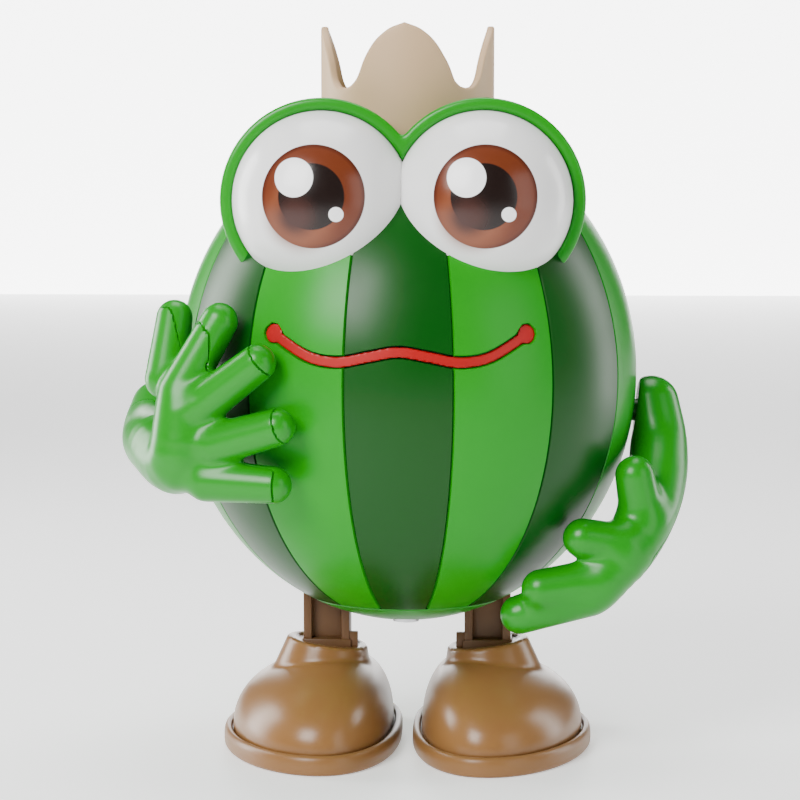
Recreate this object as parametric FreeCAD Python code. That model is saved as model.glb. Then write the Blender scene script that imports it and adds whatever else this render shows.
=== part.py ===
import FreeCAD, Part
import math
import os

from FreeCAD import Matrix, Rotation, Vector

# Wind-up hopping frog.  Millimetres, +Z up, the face looks towards -Y.  Every piece is drawn about the
# body's axis (x = y = 0) with the floor at z = 0, and export() moves it so that the frame's origin is the
# bottom centre of the whole toy's box.  "left" is the frog's own left, which is +X.

# ---- body -------------------------------------------------------------------------------------------
BODY_R = 33.0                # egg's half-width
BODY_H = 36.04               # egg's half-height
BODY_LOW = 18.06             # height of the egg's lowest point
BODY_Z = BODY_LOW + BODY_H   # height of its centre
DRAWN_R, DRAWN_H, DRAWN_Z = 33.0, 36.04, 54.1      # the egg that the points below were drawn about
WALL = 1.8                   # moulded wall
CAP_SEAM_Z = BODY_LOW + 3.54                       # where the base cap meets the two shells
CAP_FLAT_Z = BODY_LOW + 0.3                        # flat underside of the base cap
CAP_LIP = 2.2                # height of the lip that locates the cap inside the shells
CAP_LIP_R = 9.6
BASE_SCREW_Y = 5.6           # the two screws that hold the motor and the cap, each side of the axis
BOSS_R = 2.8                 # screw bosses
BODY_SCREWS = ((-22.0, 38.0), (22.0, 38.0), (0.0, 81.0))    # x and z, driven in from the back

# ---- face and crown ---------------------------------------------------------------------------------
EYE_R = 12.2
EYE_X = EYE_R - 1.15         # the two balls meet on the middle plane
EYE_Y = -19.0 * BODY_R / DRAWN_R
EYE_Z = BODY_Z + 24.9 * BODY_H / DRAWN_H
HOOD_WALL = 1.75
HOOD_FRONT_Y = EYE_Y - 0.6
CROWN_R = 12.4
CROWN_WALL = 1.1
CROWN_TOP = BODY_Z + BODY_H + 13.36
CROWN_POINT = 9.0            # height of the points
CROWN_VALLEY = CROWN_TOP - CROWN_POINT
MOUTH_HALF = 0.85            # half the width of the red line
MOUTH_END_R = 1.4
MOUTH_GROOVE = 1.0           # depth of its groove
MOUTH_SINK = 0.35            # how far the red insert lies below the body's surface
# x and z of the smile's right half
MOUTH_LINE = ((0.0, 59.3), (4.0, 58.65), (8.0, 57.9), (11.75, 58.35), (14.7, 60.05), (17.1, 61.45))

# ---- arms -------------------------------------------------------------------------------------------
SHOULDER_Z = BODY_Z - 5.5
SHOULDER_X = BODY_R + 3.2    # where the shoulder pin ends, inside the arm
ARM_GAP = 0.4                # between an arm and the body
FINGER_R, LOW_FINGER_R = 2.5, 2.75                 # raised hand and hanging hand
FINGER_ROOT = 0.4            # a finger is this much thicker where it leaves the hand
LIMB_STEP = 0.97
SHOULDER_PIN_R = 1.6
RETAINER_R = 3.4
RETAINER_X = BODY_R - 4.8

# ---- running fits and gear proportions ----------------------------------------------------------------
RUNNING = 0.06               # radial clearance of every shaft that turns
SIDE_PLAY = 0.2              # end play
# ---- motor ------------------------------------------------------------------------------------------
KEY_Z = 56.0                 # height of the key arbor and of the first arbor
CRANK_Z = 44.0               # height of the crankshaft
PLATE_X = 9.6                # inner face of each side plate
PLATE = 1.0                  # thickness of the motor's plates
MOTOR_FRONT, MOTOR_BACK = -14.0, 15.2
MOTOR_LOW, MOTOR_HIGH = 33.0, 75.0
ARBOR_R = 0.9
KEY_ARBOR_R = 1.5
CRANKSHAFT_R = 1.1
PILLAR_R = 1.2
PILLARS = ((-12.0, 72.5), (-12.0, 36.0), (8.6, 72.5), (8.6, 37.5))       # y and z
WHEEL_WEB = 1.2

MODULE_FACE = 0.6            # crown wheel and its pinion
FACE_TEETH, FIRST_PINION_TEETH = 24, 9
MODULE_FLAT = 0.5            # the other two pairs
FIRST_WHEEL_TEETH, CRANK_PINION_TEETH = 36, 12
CRANK_WHEEL_TEETH, FAN_PINION_TEETH = 30, 8
FIRST_WHEEL_X = 8.1          # near face of the first wheel, outside the crown wheel's rim
CRANK_WHEEL_X = -9.3
FAN_ANGLE = 210.4            # direction of the fan arbor from the crankshaft, in the Y-Z plane
FAN_R = 3.3
FLAT_TOOTH = dict(addendum=0.8, dedendum=1.25, thick=0.36)
PINION_TOOTH = dict(addendum=0.75, dedendum=1.3, thick=0.32)
FIRST_PITCH_R = FIRST_PINION_TEETH * MODULE_FACE / 2.0
FACE_PITCH_R = FACE_TEETH * MODULE_FACE / 2.0
FACE_HALF = 0.5              # half the length of the crown wheel's teeth
FACE_BACK_Y = FIRST_PITCH_R + 2.4
ARBOR_CLIP_Y = FIRST_PITCH_R + 0.15
CLICK_PIN = (0.0, 5.9)       # x and height above the key arbor
CLICK_START = FACE_BACK_Y + SIDE_PLAY

SPRING_FRONT = 10.2
SPRING_BACK = 13.7
SPRING_IN, SPRING_OUT = 2.4, 8.6
SPRING_PITCH = 1.55
SPRING_THICK = 0.3
RATCHET_TEETH = 12
RATCHET_R = 3.6
BRIDGE_FRONT = 7.4

# ---- cranks, legs and shoes ----------------------------------------------------------------------------
THROW = 1.8                  # crank radius
PIN_Z = CRANK_Z - THROW      # height of the crank pins at rest
CRANK_X = 11.0               # inner face of each crank
CRANK_THICK = 1.2
CRANK_PIN_R = 1.2
LEG_X = 11.7
LEG_HALF = 3.35
LEG_DEPTH = 2.6              # half the leg's depth, front to back
LEG_BAR = (12.6, 14.8)       # inner and outer face of the leg's upper bar
LEG_FOOT_Z = 6.0
LEG_RIB, LEG_WEB = 1.2, 1.0  # width of the ribs, and half the thickness of the plate between them
LEG_RAIL = 0.9               # solid band below and above the recess
TAB, TAB_UP = 1.2, 1.6       # the small ear on the inner side of each leg, and its height above the collar
SLOT_CLEAR = 0.5
SHOE_X = 11.7                # the toe's tip, nearer to the inner side
SOLE_IN, SOLE_OUT = 10.9, 15.1                     # half-widths, inner and outer
TOE_REACH, HEEL_REACH = 24.0, 17.0
SOLE_POWERS = (3.0, 2.2, 2.25, 1.9)                # squareness: inner heel, outer heel, inner toe, outer toe
SOLE_THICK = 2.8
SOLE_SCREWS = (13.85, (-10.0, 11.0))               # x, and y of each
UPPER_INSET = 1.35
UPPER_HIGH = 12.8            # top of the shoe's dome
UPPER_POWER = 2.1            # squareness of its sides
APEX_X = 9.7                 # the dome's highest point
UPPER_WALL = 1.5
COLLAR_TOP = 14.6
COLLAR_TILT = 8.0            # degrees: the collar's rim is higher on the outer side
COLLAR_R = 5.85
COLLAR_WALL = 1.7

# ---- key ----------------------------------------------------------------------------------------------
KEY_START = BODY_R + 1.2
KEY_END = KEY_START + 8.4
KEY_HUB_R = 2.6
KEY_EAR_R = 5.4
KEY_EAR_X = 6.2
KEY_THICK = 2.4

# ---- fasteners ----------------------------------------------------------------------------------------
SCREW_R = 0.9
SCREW_HEAD_R = 1.9
SCREW_HEAD = 1.1

FRONT_REACH = 32.4 * BODY_R / DRAWN_R + FINGER_R     # how far the folded hand reaches in front of the axis
AXIS_Y = (FRONT_REACH - KEY_END) / 2.0

X, Y, Z = Vector(1, 0, 0), Vector(0, 1, 0), Vector(0, 0, 1)


def on_body(x, y, z):
    """A point drawn about the nominal egg, carried to the egg of the set sizes."""
    return x * BODY_R / DRAWN_R, y * BODY_R / DRAWN_R, BODY_Z + (z - DRAWN_Z) * BODY_H / DRAWN_H


def screw_places():
    """x and z of the screws that join the shells."""
    return [on_body(x, 0, z)[::2] for x, z in BODY_SCREWS]


def export(name, shape):
    shape = shape.copy()
    shape.translate(Vector(0, AXIS_Y, 0))
    shape.exportStep("parts/" + name + ".step")


def fuse(*pieces):
    """Join touching solids and tidy the faces that they share."""
    return pieces[0].multiFuse(list(pieces[1:])).removeSplitter()


def box(x0, x1, y0, y1, z0, z1):
    return Part.makeBox(x1 - x0, y1 - y0, z1 - z0, Vector(x0, y0, z0))


def rod(start, along, length, radius):
    return Part.makeCylinder(radius, length, Vector(*start), along)


def ring(start, along, length, outer, inner):
    return rod(start, along, length, outer).cut(rod(start, along, length, inner))


def mirror_x(shape):
    return shape.mirror(Vector(0, 0, 0), X)


def capsule(start, end, radius_start, radius_end):
    """A rounded, tapering limb between two points."""
    start, end = Vector(*start), Vector(*end)
    length = end.sub(start).Length
    lean = math.asin((radius_start - radius_end) / length)
    low = Vector(radius_start * math.cos(lean), 0, radius_start * math.sin(lean))
    high = Vector(radius_end * math.cos(lean), 0, length + radius_end * math.sin(lean))
    half_low, half_high = (lean - math.pi / 2) / 2, (lean + math.pi / 2) / 2
    middle_low = Vector(radius_start * math.cos(half_low), 0, radius_start * math.sin(half_low))
    middle_high = Vector(radius_end * math.cos(half_high), 0, length + radius_end * math.sin(half_high))
    bottom, top = Vector(0, 0, -radius_start), Vector(0, 0, length + radius_end)
    edges = [Part.Arc(bottom, middle_low, low).toShape(), Part.LineSegment(low, high).toShape(),
             Part.Arc(high, middle_high, top).toShape(), Part.LineSegment(top, bottom).toShape()]
    solid = Part.Face(Part.Wire(edges)).revolve(Vector(0, 0, 0), Z, 360)
    solid.Placement = FreeCAD.Placement(start, Rotation(Z, end.sub(start)))
    return solid


def egg(grow=0.0):
    """The body's outer surface, as a solid, moved out or in by a wall or a gap."""
    radius, height = BODY_R + grow, BODY_H + grow
    centre = Vector(0, 0, BODY_Z)
    curve = Part.Ellipse(Vector(0, 0, BODY_Z + height), Vector(radius, 0, BODY_Z), centre)
    side = Part.ArcOfEllipse(curve, 0, math.pi).toShape()
    axis = Part.LineSegment(Vector(0, 0, BODY_Z - height), Vector(0, 0, BODY_Z + height)).toShape()
    return Part.Face(Part.Wire([side, axis])).revolve(centre, Z, 360)


def screw(tip, along, length):
    """A pan-head screw: tip, the direction from tip to head, and the shank's length."""
    head = Vector(*tip) + along * length
    shank = rod(tip, along, length, SCREW_R)
    cap = rod(head, along, SCREW_HEAD, SCREW_HEAD_R)
    slot = Part.makeBox(SCREW_HEAD_R * 2.4, 0.5, 0.5, Vector(-SCREW_HEAD_R * 1.2, -0.25, -0.25))
    slot.Placement = FreeCAD.Placement(head + along * SCREW_HEAD, Rotation(Z, along))
    return fuse(shank, cap).cut(slot)


def gear(teeth, module, x0, width, hub, addendum, dedendum, thick):
    """A spur wheel on the X axis.  Narrow teeth, as in a stamped clockwork train; hub is its bore.

    One tooth points along +Z."""
    pitch_r = teeth * module / 2.0
    share = 2.0 * math.pi / teeth
    outline = []
    for index in range(teeth):
        middle = index * share
        half = thick * share / 2.0
        for radius, spread in ((pitch_r - dedendum * module, -1.25), (pitch_r, -1.0),
                               (pitch_r + addendum * module, -0.45), (pitch_r + addendum * module, 0.45),
                               (pitch_r, 1.0), (pitch_r - dedendum * module, 1.25)):
            angle = middle + spread * half
            outline.append(Vector(x0, radius * math.sin(angle), radius * math.cos(angle)))
    blank = Part.Face(Part.makePolygon(outline + outline[:1])).extrude(Vector(width, 0, 0))
    return blank.cut(rod((x0 - 1, 0, 0), X, width + 2, hub))


def at(shape, y, z, turn=0.0):
    """Turn a piece that is drawn on the X axis, then move it to its arbor."""
    shape = shape.copy()
    shape.rotate(Vector(0, 0, 0), X, turn)
    shape.translate(Vector(0, y, z))
    return shape


# ---- shells ---------------------------------------------------------------------------------------------
def leg_slots():
    half_x = LEG_HALF + SLOT_CLEAR
    half_y = LEG_DEPTH + THROW + SLOT_CLEAR
    return [box(side * LEG_X - half_x, side * LEG_X + half_x, -half_y, half_y, 0, CAP_SEAM_Z + 12)
            for side in (-1, 1)]


def ear_notches():
    """Room in the cap for the ear on each leg as the leg goes round."""
    reach = LEG_HALF + TAB + SLOT_CLEAR
    front, back = -LEG_DEPTH - THROW - SLOT_CLEAR, -LEG_DEPTH + TAB + THROW + SLOT_CLEAR
    return [box(LEG_X - reach, LEG_X, front, back, 0, CAP_SEAM_Z),
            box(-LEG_X, reach - LEG_X, front, back, 0, CAP_SEAM_Z)]


def mouth_outline():
    """The smile's centre line as points on the front, left to right."""
    right = [Vector(*on_body(x, 0, z)) for x, z in MOUTH_LINE]
    left = [Vector(-point.x, 0, point.z) for point in reversed(right[1:])]
    return left + right


def mouth_solid(depth_out, depth_in):
    """The band of the smile between two depths below the body's surface."""
    points = mouth_outline()
    curve = Part.BSplineCurve()
    curve.interpolate(points)
    first, last = curve.FirstParameter, curve.LastParameter
    steps = 24
    upper, lower = [], []
    for step in range(steps + 1):
        place = first + (last - first) * step / steps
        middle, along = curve.value(place), curve.tangent(place)[0]
        across = Vector(-along.z, 0, along.x) * MOUTH_HALF
        upper.append(middle + across)
        lower.append(middle - across)
    rail = [Part.BSplineCurve(), Part.BSplineCurve()]
    rail[0].interpolate(upper)
    rail[1].interpolate(lower)
    wire = Part.Wire([rail[0].toShape(), Part.LineSegment(upper[-1], lower[-1]).toShape(),
                      rail[1].toShape(), Part.LineSegment(lower[0], upper[0]).toShape()])
    band = Part.Face(wire).extrude(Vector(0, -BODY_R - 2, 0))
    ends = [rod((point.x, 0, point.z), -Y, BODY_R + 2, MOUTH_END_R) for point in (points[0], points[-1])]
    return fuse(band, *ends).common(egg(-depth_out)).cut(egg(-depth_in))


def body_bosses(front):
    """Screw columns that run from the shell's wall to the parting plane."""
    columns = []
    for x, z in screw_places():
        column = rod((x, 0, z), -Y if front else Y, BODY_R, BOSS_R)
        columns.append(column.common(egg(-WALL / 2)))
    return columns


def body_shell(front):
    skin = egg().cut(egg(-WALL))
    half = box(-50, 50, -50 if front else 0, 0 if front else 50, CAP_SEAM_Z, 100)
    shell = skin.common(half)
    shell = fuse(shell, *[column.common(half) for column in body_bosses(front)])
    for x, z in screw_places():
        if front:
            shell = shell.cut(rod((x, 0, z), -Y, 9.0, SCREW_R))
        else:
            shell = shell.cut(rod((x, -1, z), Y, BODY_R + 2, SCREW_R + 0.2))
            shell = shell.cut(rod((x, screw_seat(x, z), z), Y, BODY_R, SCREW_HEAD_R + 0.3))
    shell = shell.cut(rod((-50, 0, SHOULDER_Z), X, 100, SHOULDER_PIN_R + RUNNING))
    for slot in leg_slots():
        shell = shell.cut(slot)
    if front:
        shell = shell.cut(mouth_solid(-1.0, MOUTH_GROOVE))
    else:
        shell = shell.cut(rod((0, 5, KEY_Z), Y, 50, KEY_ARBOR_R + 0.8))
    return shell


def screw_seat(x, z):
    """How deep in Y a body screw's head sits, clear of the outer surface."""
    inside = 1.0 - ((z - BODY_Z) / BODY_H) ** 2 - (x / BODY_R) ** 2
    return BODY_R * math.sqrt(inside) - 3.6


def base_cap():
    skin = egg().cut(egg(-WALL)).common(box(-50, 50, -50, 50, 0, CAP_SEAM_Z))
    seat_r = BODY_R * math.sqrt(1 - ((CAP_SEAM_Z - BODY_Z) / BODY_H) ** 2)
    floor = egg().common(box(-50, 50, -50, 50, 0, CAP_FLAT_Z + WALL))
    lip = ring((0, 0, CAP_FLAT_Z + 1), Z, CAP_SEAM_Z - CAP_FLAT_Z - 1 + CAP_LIP, CAP_LIP_R, CAP_LIP_R - 1.4)
    cap = fuse(skin, floor, lip).cut(box(-50, 50, -50, 50, 0, CAP_FLAT_Z))
    cap = cap.common(rod((0, 0, 0), Z, 100, seat_r))
    for y in (-BASE_SCREW_Y, BASE_SCREW_Y):
        cap = fuse(cap, rod((0, y, CAP_FLAT_Z + 0.6), Z, MOTOR_LOW - CAP_FLAT_Z - 0.6, BOSS_R))
        cap = cap.cut(rod((0, y, 0), Z, 60, SCREW_R + 0.2))
        cap = cap.cut(rod((0, y, 0), Z, CAP_FLAT_Z + SCREW_HEAD + 0.2, SCREW_HEAD_R + 0.3))
    for slot in leg_slots() + ear_notches():
        cap = cap.cut(slot)
    return cap


def body_screws():
    pieces = []
    for x, z in screw_places():
        seat = screw_seat(x, z)
        pieces.append(screw((x, -7.0, z), Y, seat + 7.0))
    return Part.makeCompound(pieces)


def base_screws():
    top = MOTOR_LOW + PLATE
    low = CAP_FLAT_Z + SCREW_HEAD + 0.2
    return Part.makeCompound([screw((0, y, top), -Z, top - low) for y in (-BASE_SCREW_Y, BASE_SCREW_Y)])


# ---- face -------------------------------------------------------------------------------------------------
def eye_ball(side, radius):
    return Part.makeSphere(radius, Vector(side * EYE_X, EYE_Y, EYE_Z))


def eyeball(side):
    half = box(0, 50, -60, 60, 0, 120) if side > 0 else box(-50, 0, -60, 60, 0, 120)
    return eye_ball(side, EYE_R).common(half).cut(egg())


def eye_hood():
    hood = fuse(eye_ball(-1, EYE_R + HOOD_WALL), eye_ball(1, EYE_R + HOOD_WALL))
    for side in (-1, 1):
        hood = hood.cut(eye_ball(side, EYE_R))
    return hood.cut(box(-60, 60, -60, HOOD_FRONT_Y, 0, 120)).cut(egg())


def crown():
    low = CROWN_VALLEY - 12
    wall = ring((0, 0, low), Z, CROWN_TOP - low, CROWN_R, CROWN_R - CROWN_WALL)
    height = CROWN_TOP - CROWN_VALLEY
    shoulder = ((45, 0.0), (38, 0.05), (32, 0.21), (28, 0.43), (22, 0.66), (12, 0.88), (0, 1.0))
    half = [(CROWN_R * math.sin(math.radians(45 - angle)), CROWN_VALLEY + height * share)
            for angle, share in shoulder]
    points = [Vector(0, -u, z) for u, z in reversed(half[1:])] + [Vector(0, u, z) for u, z in half]
    edge = Part.BSplineCurve()
    edge.interpolate(points)
    high = CROWN_TOP + 2
    corner_left, corner_right = Vector(0, points[0].y, high), Vector(0, points[-1].y, high)
    wire = Part.Wire([edge.toShape(), Part.LineSegment(points[-1], corner_right).toShape(),
                      Part.LineSegment(corner_right, corner_left).toShape(),
                      Part.LineSegment(corner_left, points[0]).toShape()])
    notch = Part.Face(wire).extrude(Vector(CROWN_R * 1.5, 0, 0))
    for quarter in range(4):
        cutter = notch.copy()
        cutter.rotate(Vector(0, 0, 0), Z, 45 + 90 * quarter)
        wall = wall.cut(cutter)
    for side in (-1, 1):
        wall = wall.cut(eye_ball(side, EYE_R + HOOD_WALL))
    return wall.cut(egg())


# ---- arms -------------------------------------------------------------------------------------------------
LEFT_LIMB = (((35.2, 0, 49.6), 4.2), ((36.1, -2.0, 44.4), 4.4), ((35.7, -6.5, 39.2), 4.4),
             ((33.8, -11.5, 34.2), 4.2), ((30.5, -15.0, 29.6), 4.1), ((27.4, -16.0, 25.9), 3.4))
LEFT_FINGERS = (((33.4, -13.0, 34.4), (32.2, -14.0, 40.8)), ((30.1, -15.6, 31.2), (24.9, -17.2, 32.4)),
                ((27.4, -16.4, 26.4), (19.2, -17.5, 25.3)), ((25.7, -15.8, 24.3), (16.3, -15.2, 21.3)))
LEFT_PARTING = ((60, 0.0), (44.4, -2.0), (34.2, -11.5), (29.6, -15.8), (10, -15.8))      # z and y

RIGHT_LIMB = (((-36.2, 0, 48.6), 4.3), ((-36.2, -8.0, 46.2), 4.3), ((-33.8, -18.5, 45.2), 4.6),
              ((-29.6, -26.0, 44.6), 4.9), ((-29.0, -26.4, 50.4), 4.4))
RIGHT_FINGERS = (((-32.1, -22.5, 54.8), (-31.4, -18.5, 62.9)), ((-29.6, -26.3, 53.6), (-24.4, -25.6, 62.9)),
                 ((-26.1, -28.2, 52.1), (-18.8, -30.8, 57.7)), ((-24.6, -28.8, 46.6), (-16.1, -32.4, 49.3)),
                 ((-26.0, -28.0, 41.6), (-16.8, -30.4, 41.3)))
RIGHT_PARTING = ((-60, 0.0), (-36.2, -8.0), (-33.8, -18.5), (-26.5, -28.5), (-10, -34.5))    # x and y


def limb(line, fingers, finger_r):
    """A chain of capsules.  Each starts a little thinner than the one before it ended."""
    pieces = []
    for (start, radius_start), (end, radius_end) in zip(line, line[1:]):
        pieces.append(capsule(on_body(*start), on_body(*end), radius_start * LIMB_STEP, radius_end))
    for root, tip in fingers:
        pieces.append(capsule(on_body(*root), on_body(*tip), finger_r + FINGER_ROOT, finger_r))
    return fuse(*pieces)


def shoulder_pin(side):
    inner = RETAINER_X - 1.6
    pin = rod((side * inner, 0, SHOULDER_Z), X * side, SHOULDER_X - inner, SHOULDER_PIN_R)
    groove = ring((side * (RETAINER_X + 0.1), 0, SHOULDER_Z), X * side, 0.8, SHOULDER_PIN_R + 1,
                  SHOULDER_PIN_R - 0.4)
    return pin.cut(groove)


def shoulder_retainer(side):
    return ring((side * (RETAINER_X + 0.1), 0, SHOULDER_Z), X * side, 0.8, RETAINER_R, SHOULDER_PIN_R - 0.4)


def arm(side):
    """The whole moulding, before it is parted into two halves."""
    if side > 0:
        whole = limb(LEFT_LIMB, LEFT_FINGERS, LOW_FINGER_R)
    else:
        whole = limb(RIGHT_LIMB, RIGHT_FINGERS, FINGER_R)
    return whole.cut(egg(ARM_GAP)).cut(shoulder_pin(side))


def front_side(side):
    """Everything in front of an arm's parting surface, as one block."""
    reach = 3.0 * BODY_R
    if side > 0:
        line = [Vector(*on_body(0, y, z)) for z, y in LEFT_PARTING]
        line += [Vector(0, -reach, line[-1].z), Vector(0, -reach, line[0].z)]
        return Part.Face(Part.makePolygon(line + line[:1])).extrude(Vector(reach, 0, 0))
    line = [Vector(*on_body(x, y, 0)) for x, y in RIGHT_PARTING]
    for point in line:
        point.z = 0.0
    line += [Vector(line[-1].x, -reach, 0), Vector(line[0].x, -reach, 0)]
    return Part.Face(Part.makePolygon(line + line[:1])).extrude(Vector(0, 0, CROWN_TOP))


# ---- motor frame -------------------------------------------------------------------------------------------
def fan_place():
    reach = (CRANK_WHEEL_TEETH + FAN_PINION_TEETH) * MODULE_FLAT / 2.0
    angle = math.radians(FAN_ANGLE)
    return reach * math.cos(angle), CRANK_Z + reach * math.sin(angle)


def side_plate(side):
    x0 = PLATE_X if side > 0 else -PLATE_X - PLATE
    plate = box(x0, x0 + PLATE, MOTOR_FRONT, MOTOR_BACK, MOTOR_LOW + PLATE, MOTOR_HIGH)
    plate = plate.makeFillet(2.5, [edge for edge in plate.Edges if abs(edge.tangentAt(0).x) > 0.9])
    fan_y, fan_z = fan_place()
    for y, z, radius in ((0, KEY_Z, ARBOR_R), (0, CRANK_Z, CRANKSHAFT_R), (fan_y, fan_z, ARBOR_R)):
        plate = plate.cut(rod((x0 - 1, y, z), X, PLATE + 2, radius + RUNNING))
    for y, z in PILLARS:
        plate = plate.cut(rod((x0 - 1, y, z), X, PLATE + 2, PILLAR_R * 0.6))
    return plate


def motor_floor():
    plate = box(-PLATE_X - PLATE, PLATE_X + PLATE, MOTOR_FRONT, MOTOR_BACK, MOTOR_LOW, MOTOR_LOW + PLATE)
    for y in (-BASE_SCREW_Y, BASE_SCREW_Y):
        plate = plate.cut(rod((0, y, 0), Z, 60, SCREW_R))
    return plate


def motor_pillars():
    pieces = []
    for y, z in PILLARS:
        body = rod((-PLATE_X, y, z), X, 2 * PLATE_X, PILLAR_R)
        end = PLATE_X + PLATE + 0.7
        pieces.append(fuse(body, rod((-end, y, z), X, 2 * end, PILLAR_R * 0.6)))
    return Part.makeCompound(pieces)


def motor_nuts():
    pieces = []
    for y, z in PILLARS:
        for x0 in (-PLATE_X - PLATE - 0.6, PLATE_X + PLATE):
            corners = [Vector(x0, y + 1.5 * math.cos(math.radians(60 * i)),
                              z + 1.5 * math.sin(math.radians(60 * i))) for i in range(6)]
            nut = Part.Face(Part.makePolygon(corners + corners[:1])).extrude(Vector(0.6, 0, 0))
            pieces.append(nut.cut(rod((x0 - 1, y, z), X, 4, PILLAR_R * 0.6)))
    return Part.makeCompound(pieces)


def key_bridge():
    """The strip between the upper and lower back pillars that carries the key arbor's front bearing."""
    strip = box(-5.0, 5.0, BRIDGE_FRONT, BRIDGE_FRONT + PLATE, PILLARS[3][1] - 2.2, PILLARS[2][1] + 2.2)
    for y, z in PILLARS[2:]:
        strip = fuse(strip, rod((-5.0, y, z), X, 10, PILLAR_R + 0.9))
    for y, z in PILLARS[2:]:
        strip = strip.cut(rod((-20, y, z), X, 40, PILLAR_R))
    return strip.cut(rod((0, 0, KEY_Z), Y, 40, KEY_ARBOR_R + RUNNING))


def rear_plate():
    plate = box(-PLATE_X, PLATE_X, MOTOR_BACK - PLATE, MOTOR_BACK, MOTOR_LOW + PLATE, PILLARS[2][1] + 1.4)
    return plate.cut(rod((0, 0, KEY_Z), Y, 40, KEY_ARBOR_R + RUNNING))


def mainspring():
    """A spiral strip round the key arbor, with its outer end hooked on a post of the rear plate."""
    turns = (SPRING_OUT - SPRING_IN) / SPRING_PITCH
    steps = int(turns * 12)
    rails = []
    for offset in (0.0, SPRING_THICK):
        points = []
        for step in range(steps + 1):
            angle = 2 * math.pi * turns * step / steps
            radius = SPRING_IN + offset + SPRING_PITCH * angle / (2 * math.pi)
            points.append(Vector(radius * math.cos(angle), SPRING_FRONT, radius * math.sin(angle)))
        rail = Part.BSplineCurve()
        rail.interpolate(points)
        rails.append((rail, points))
    (inner, inner_points), (outer, outer_points) = rails
    wire = Part.Wire([inner.toShape(), Part.LineSegment(inner_points[-1], outer_points[-1]).toShape(),
                      outer.toShape(), Part.LineSegment(outer_points[0], inner_points[0]).toShape()])
    strip = Part.Face(wire).extrude(Vector(0, SPRING_BACK - SPRING_FRONT, 0))
    strip.translate(Vector(0, 0, KEY_Z))
    return strip


def spring_post():
    """The post that the spring's outer end bears against."""
    turns = (SPRING_OUT - SPRING_IN) / SPRING_PITCH
    angle = 2 * math.pi * turns
    radius = SPRING_OUT - 0.55
    place = (radius * math.cos(angle), SPRING_FRONT, KEY_Z + radius * math.sin(angle))
    return rod(place, Y, MOTOR_BACK - PLATE - SPRING_FRONT, 0.5)


# ---- gear train --------------------------------------------------------------------------------------------

def crown_wheel():
    """The great wheel: its teeth stand on the rim, facing the first pinion."""
    tip_y = FIRST_PITCH_R - 0.75 * MODULE_FACE
    root_y = FIRST_PITCH_R + 1.25 * MODULE_FACE
    web = rod((0, root_y, KEY_Z), Y, FACE_BACK_Y - root_y, FACE_PITCH_R + FACE_HALF + 0.2)
    share = 2 * math.pi * FACE_PITCH_R / FACE_TEETH
    root, tip = 0.36 * share / 2 * 1.3, 0.36 * share / 2 * 0.55
    outline = [Vector(-root, root_y + 0.2, 0), Vector(root, root_y + 0.2, 0), Vector(tip, tip_y, 0),
               Vector(-tip, tip_y, 0)]
    tooth = Part.Face(Part.makePolygon(outline + outline[:1])).extrude(Vector(0, 0, 2 * FACE_HALF))
    tooth.translate(Vector(0, 0, KEY_Z + FACE_PITCH_R - FACE_HALF))
    teeth = []
    for index in range(FACE_TEETH):
        piece = tooth.copy()
        piece.rotate(Vector(0, 0, KEY_Z), Y, 360.0 * (index + 0.5) / FACE_TEETH)
        teeth.append(piece)
    wheel = fuse(web, *teeth).cut(rod((0, -5, KEY_Z), Y, 40, KEY_ARBOR_R + RUNNING))
    return wheel.cut(click_pin()).cut(click_spring())


def ratchet_wheel():
    outline = []
    for index in range(RATCHET_TEETH):
        start = 2 * math.pi * index / RATCHET_TEETH
        outline.append(Vector(RATCHET_R * math.cos(start), 0, RATCHET_R * math.sin(start)))
        outline.append(Vector(0.8 * RATCHET_R * math.cos(start), 0, 0.8 * RATCHET_R * math.sin(start)))
    wheel = Part.Face(Part.makePolygon(outline + outline[:1])).extrude(Vector(0, 1.0, 0))
    wheel.translate(Vector(0, FACE_BACK_Y + SIDE_PLAY, KEY_Z))
    return wheel.cut(rod((0, 0, KEY_Z), Y, 40, KEY_ARBOR_R))


def key_arbor():
    front = FIRST_PITCH_R - 0.2
    shaft = rod((0, front, KEY_Z), Y, KEY_START + 6.0 - front, KEY_ARBOR_R)
    return shaft.cut(ring((0, ARBOR_CLIP_Y, KEY_Z), Y, 0.45, KEY_ARBOR_R + 1, KEY_ARBOR_R - 0.35))


def arbor_clip():
    return ring((0, ARBOR_CLIP_Y, KEY_Z), Y, 0.45, KEY_ARBOR_R + 0.7, KEY_ARBOR_R - 0.35)


def click():
    """The pawl, drawn lifted so that its nose just clears the ratchet's teeth."""
    pivot = Vector(CLICK_PIN[0], CLICK_START, KEY_Z + CLICK_PIN[1])
    nose = Vector(3.6, CLICK_START, KEY_Z + 1.9)
    outline = [pivot + Vector(-0.2, 0, -1.1), nose, nose + Vector(0.5, 0, 0.5), pivot + Vector(1.1, 0, 0.5)]
    arm_part = Part.Face(Part.makePolygon(outline + outline[:1])).extrude(Vector(0, 0.9, 0))
    pawl = fuse(arm_part, rod(pivot, Y, 0.9, 1.1))
    return pawl.cut(rod((pivot.x, 0, pivot.z), Y, 40, 0.5 + RUNNING))


def click_pin():
    return rod((CLICK_PIN[0], FACE_BACK_Y - 0.8, KEY_Z + CLICK_PIN[1]), Y, 2.1, 0.5)


def click_spring():
    """A wire that leans over the click's back, drawn with the room that the click's rise takes."""
    wire = rod((4.9, CLICK_START + 0.45, KEY_Z + 0.5), Z, 3.6, 0.22)
    foot = rod((4.9, FACE_BACK_Y - 0.6, KEY_Z + 0.7), Y, 1.4, 0.35)
    return fuse(wire, foot)


def first_arbor():
    length = PLATE_X + PLATE + 0.4
    return rod((-length, 0, KEY_Z), X, 2 * length, ARBOR_R)


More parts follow.
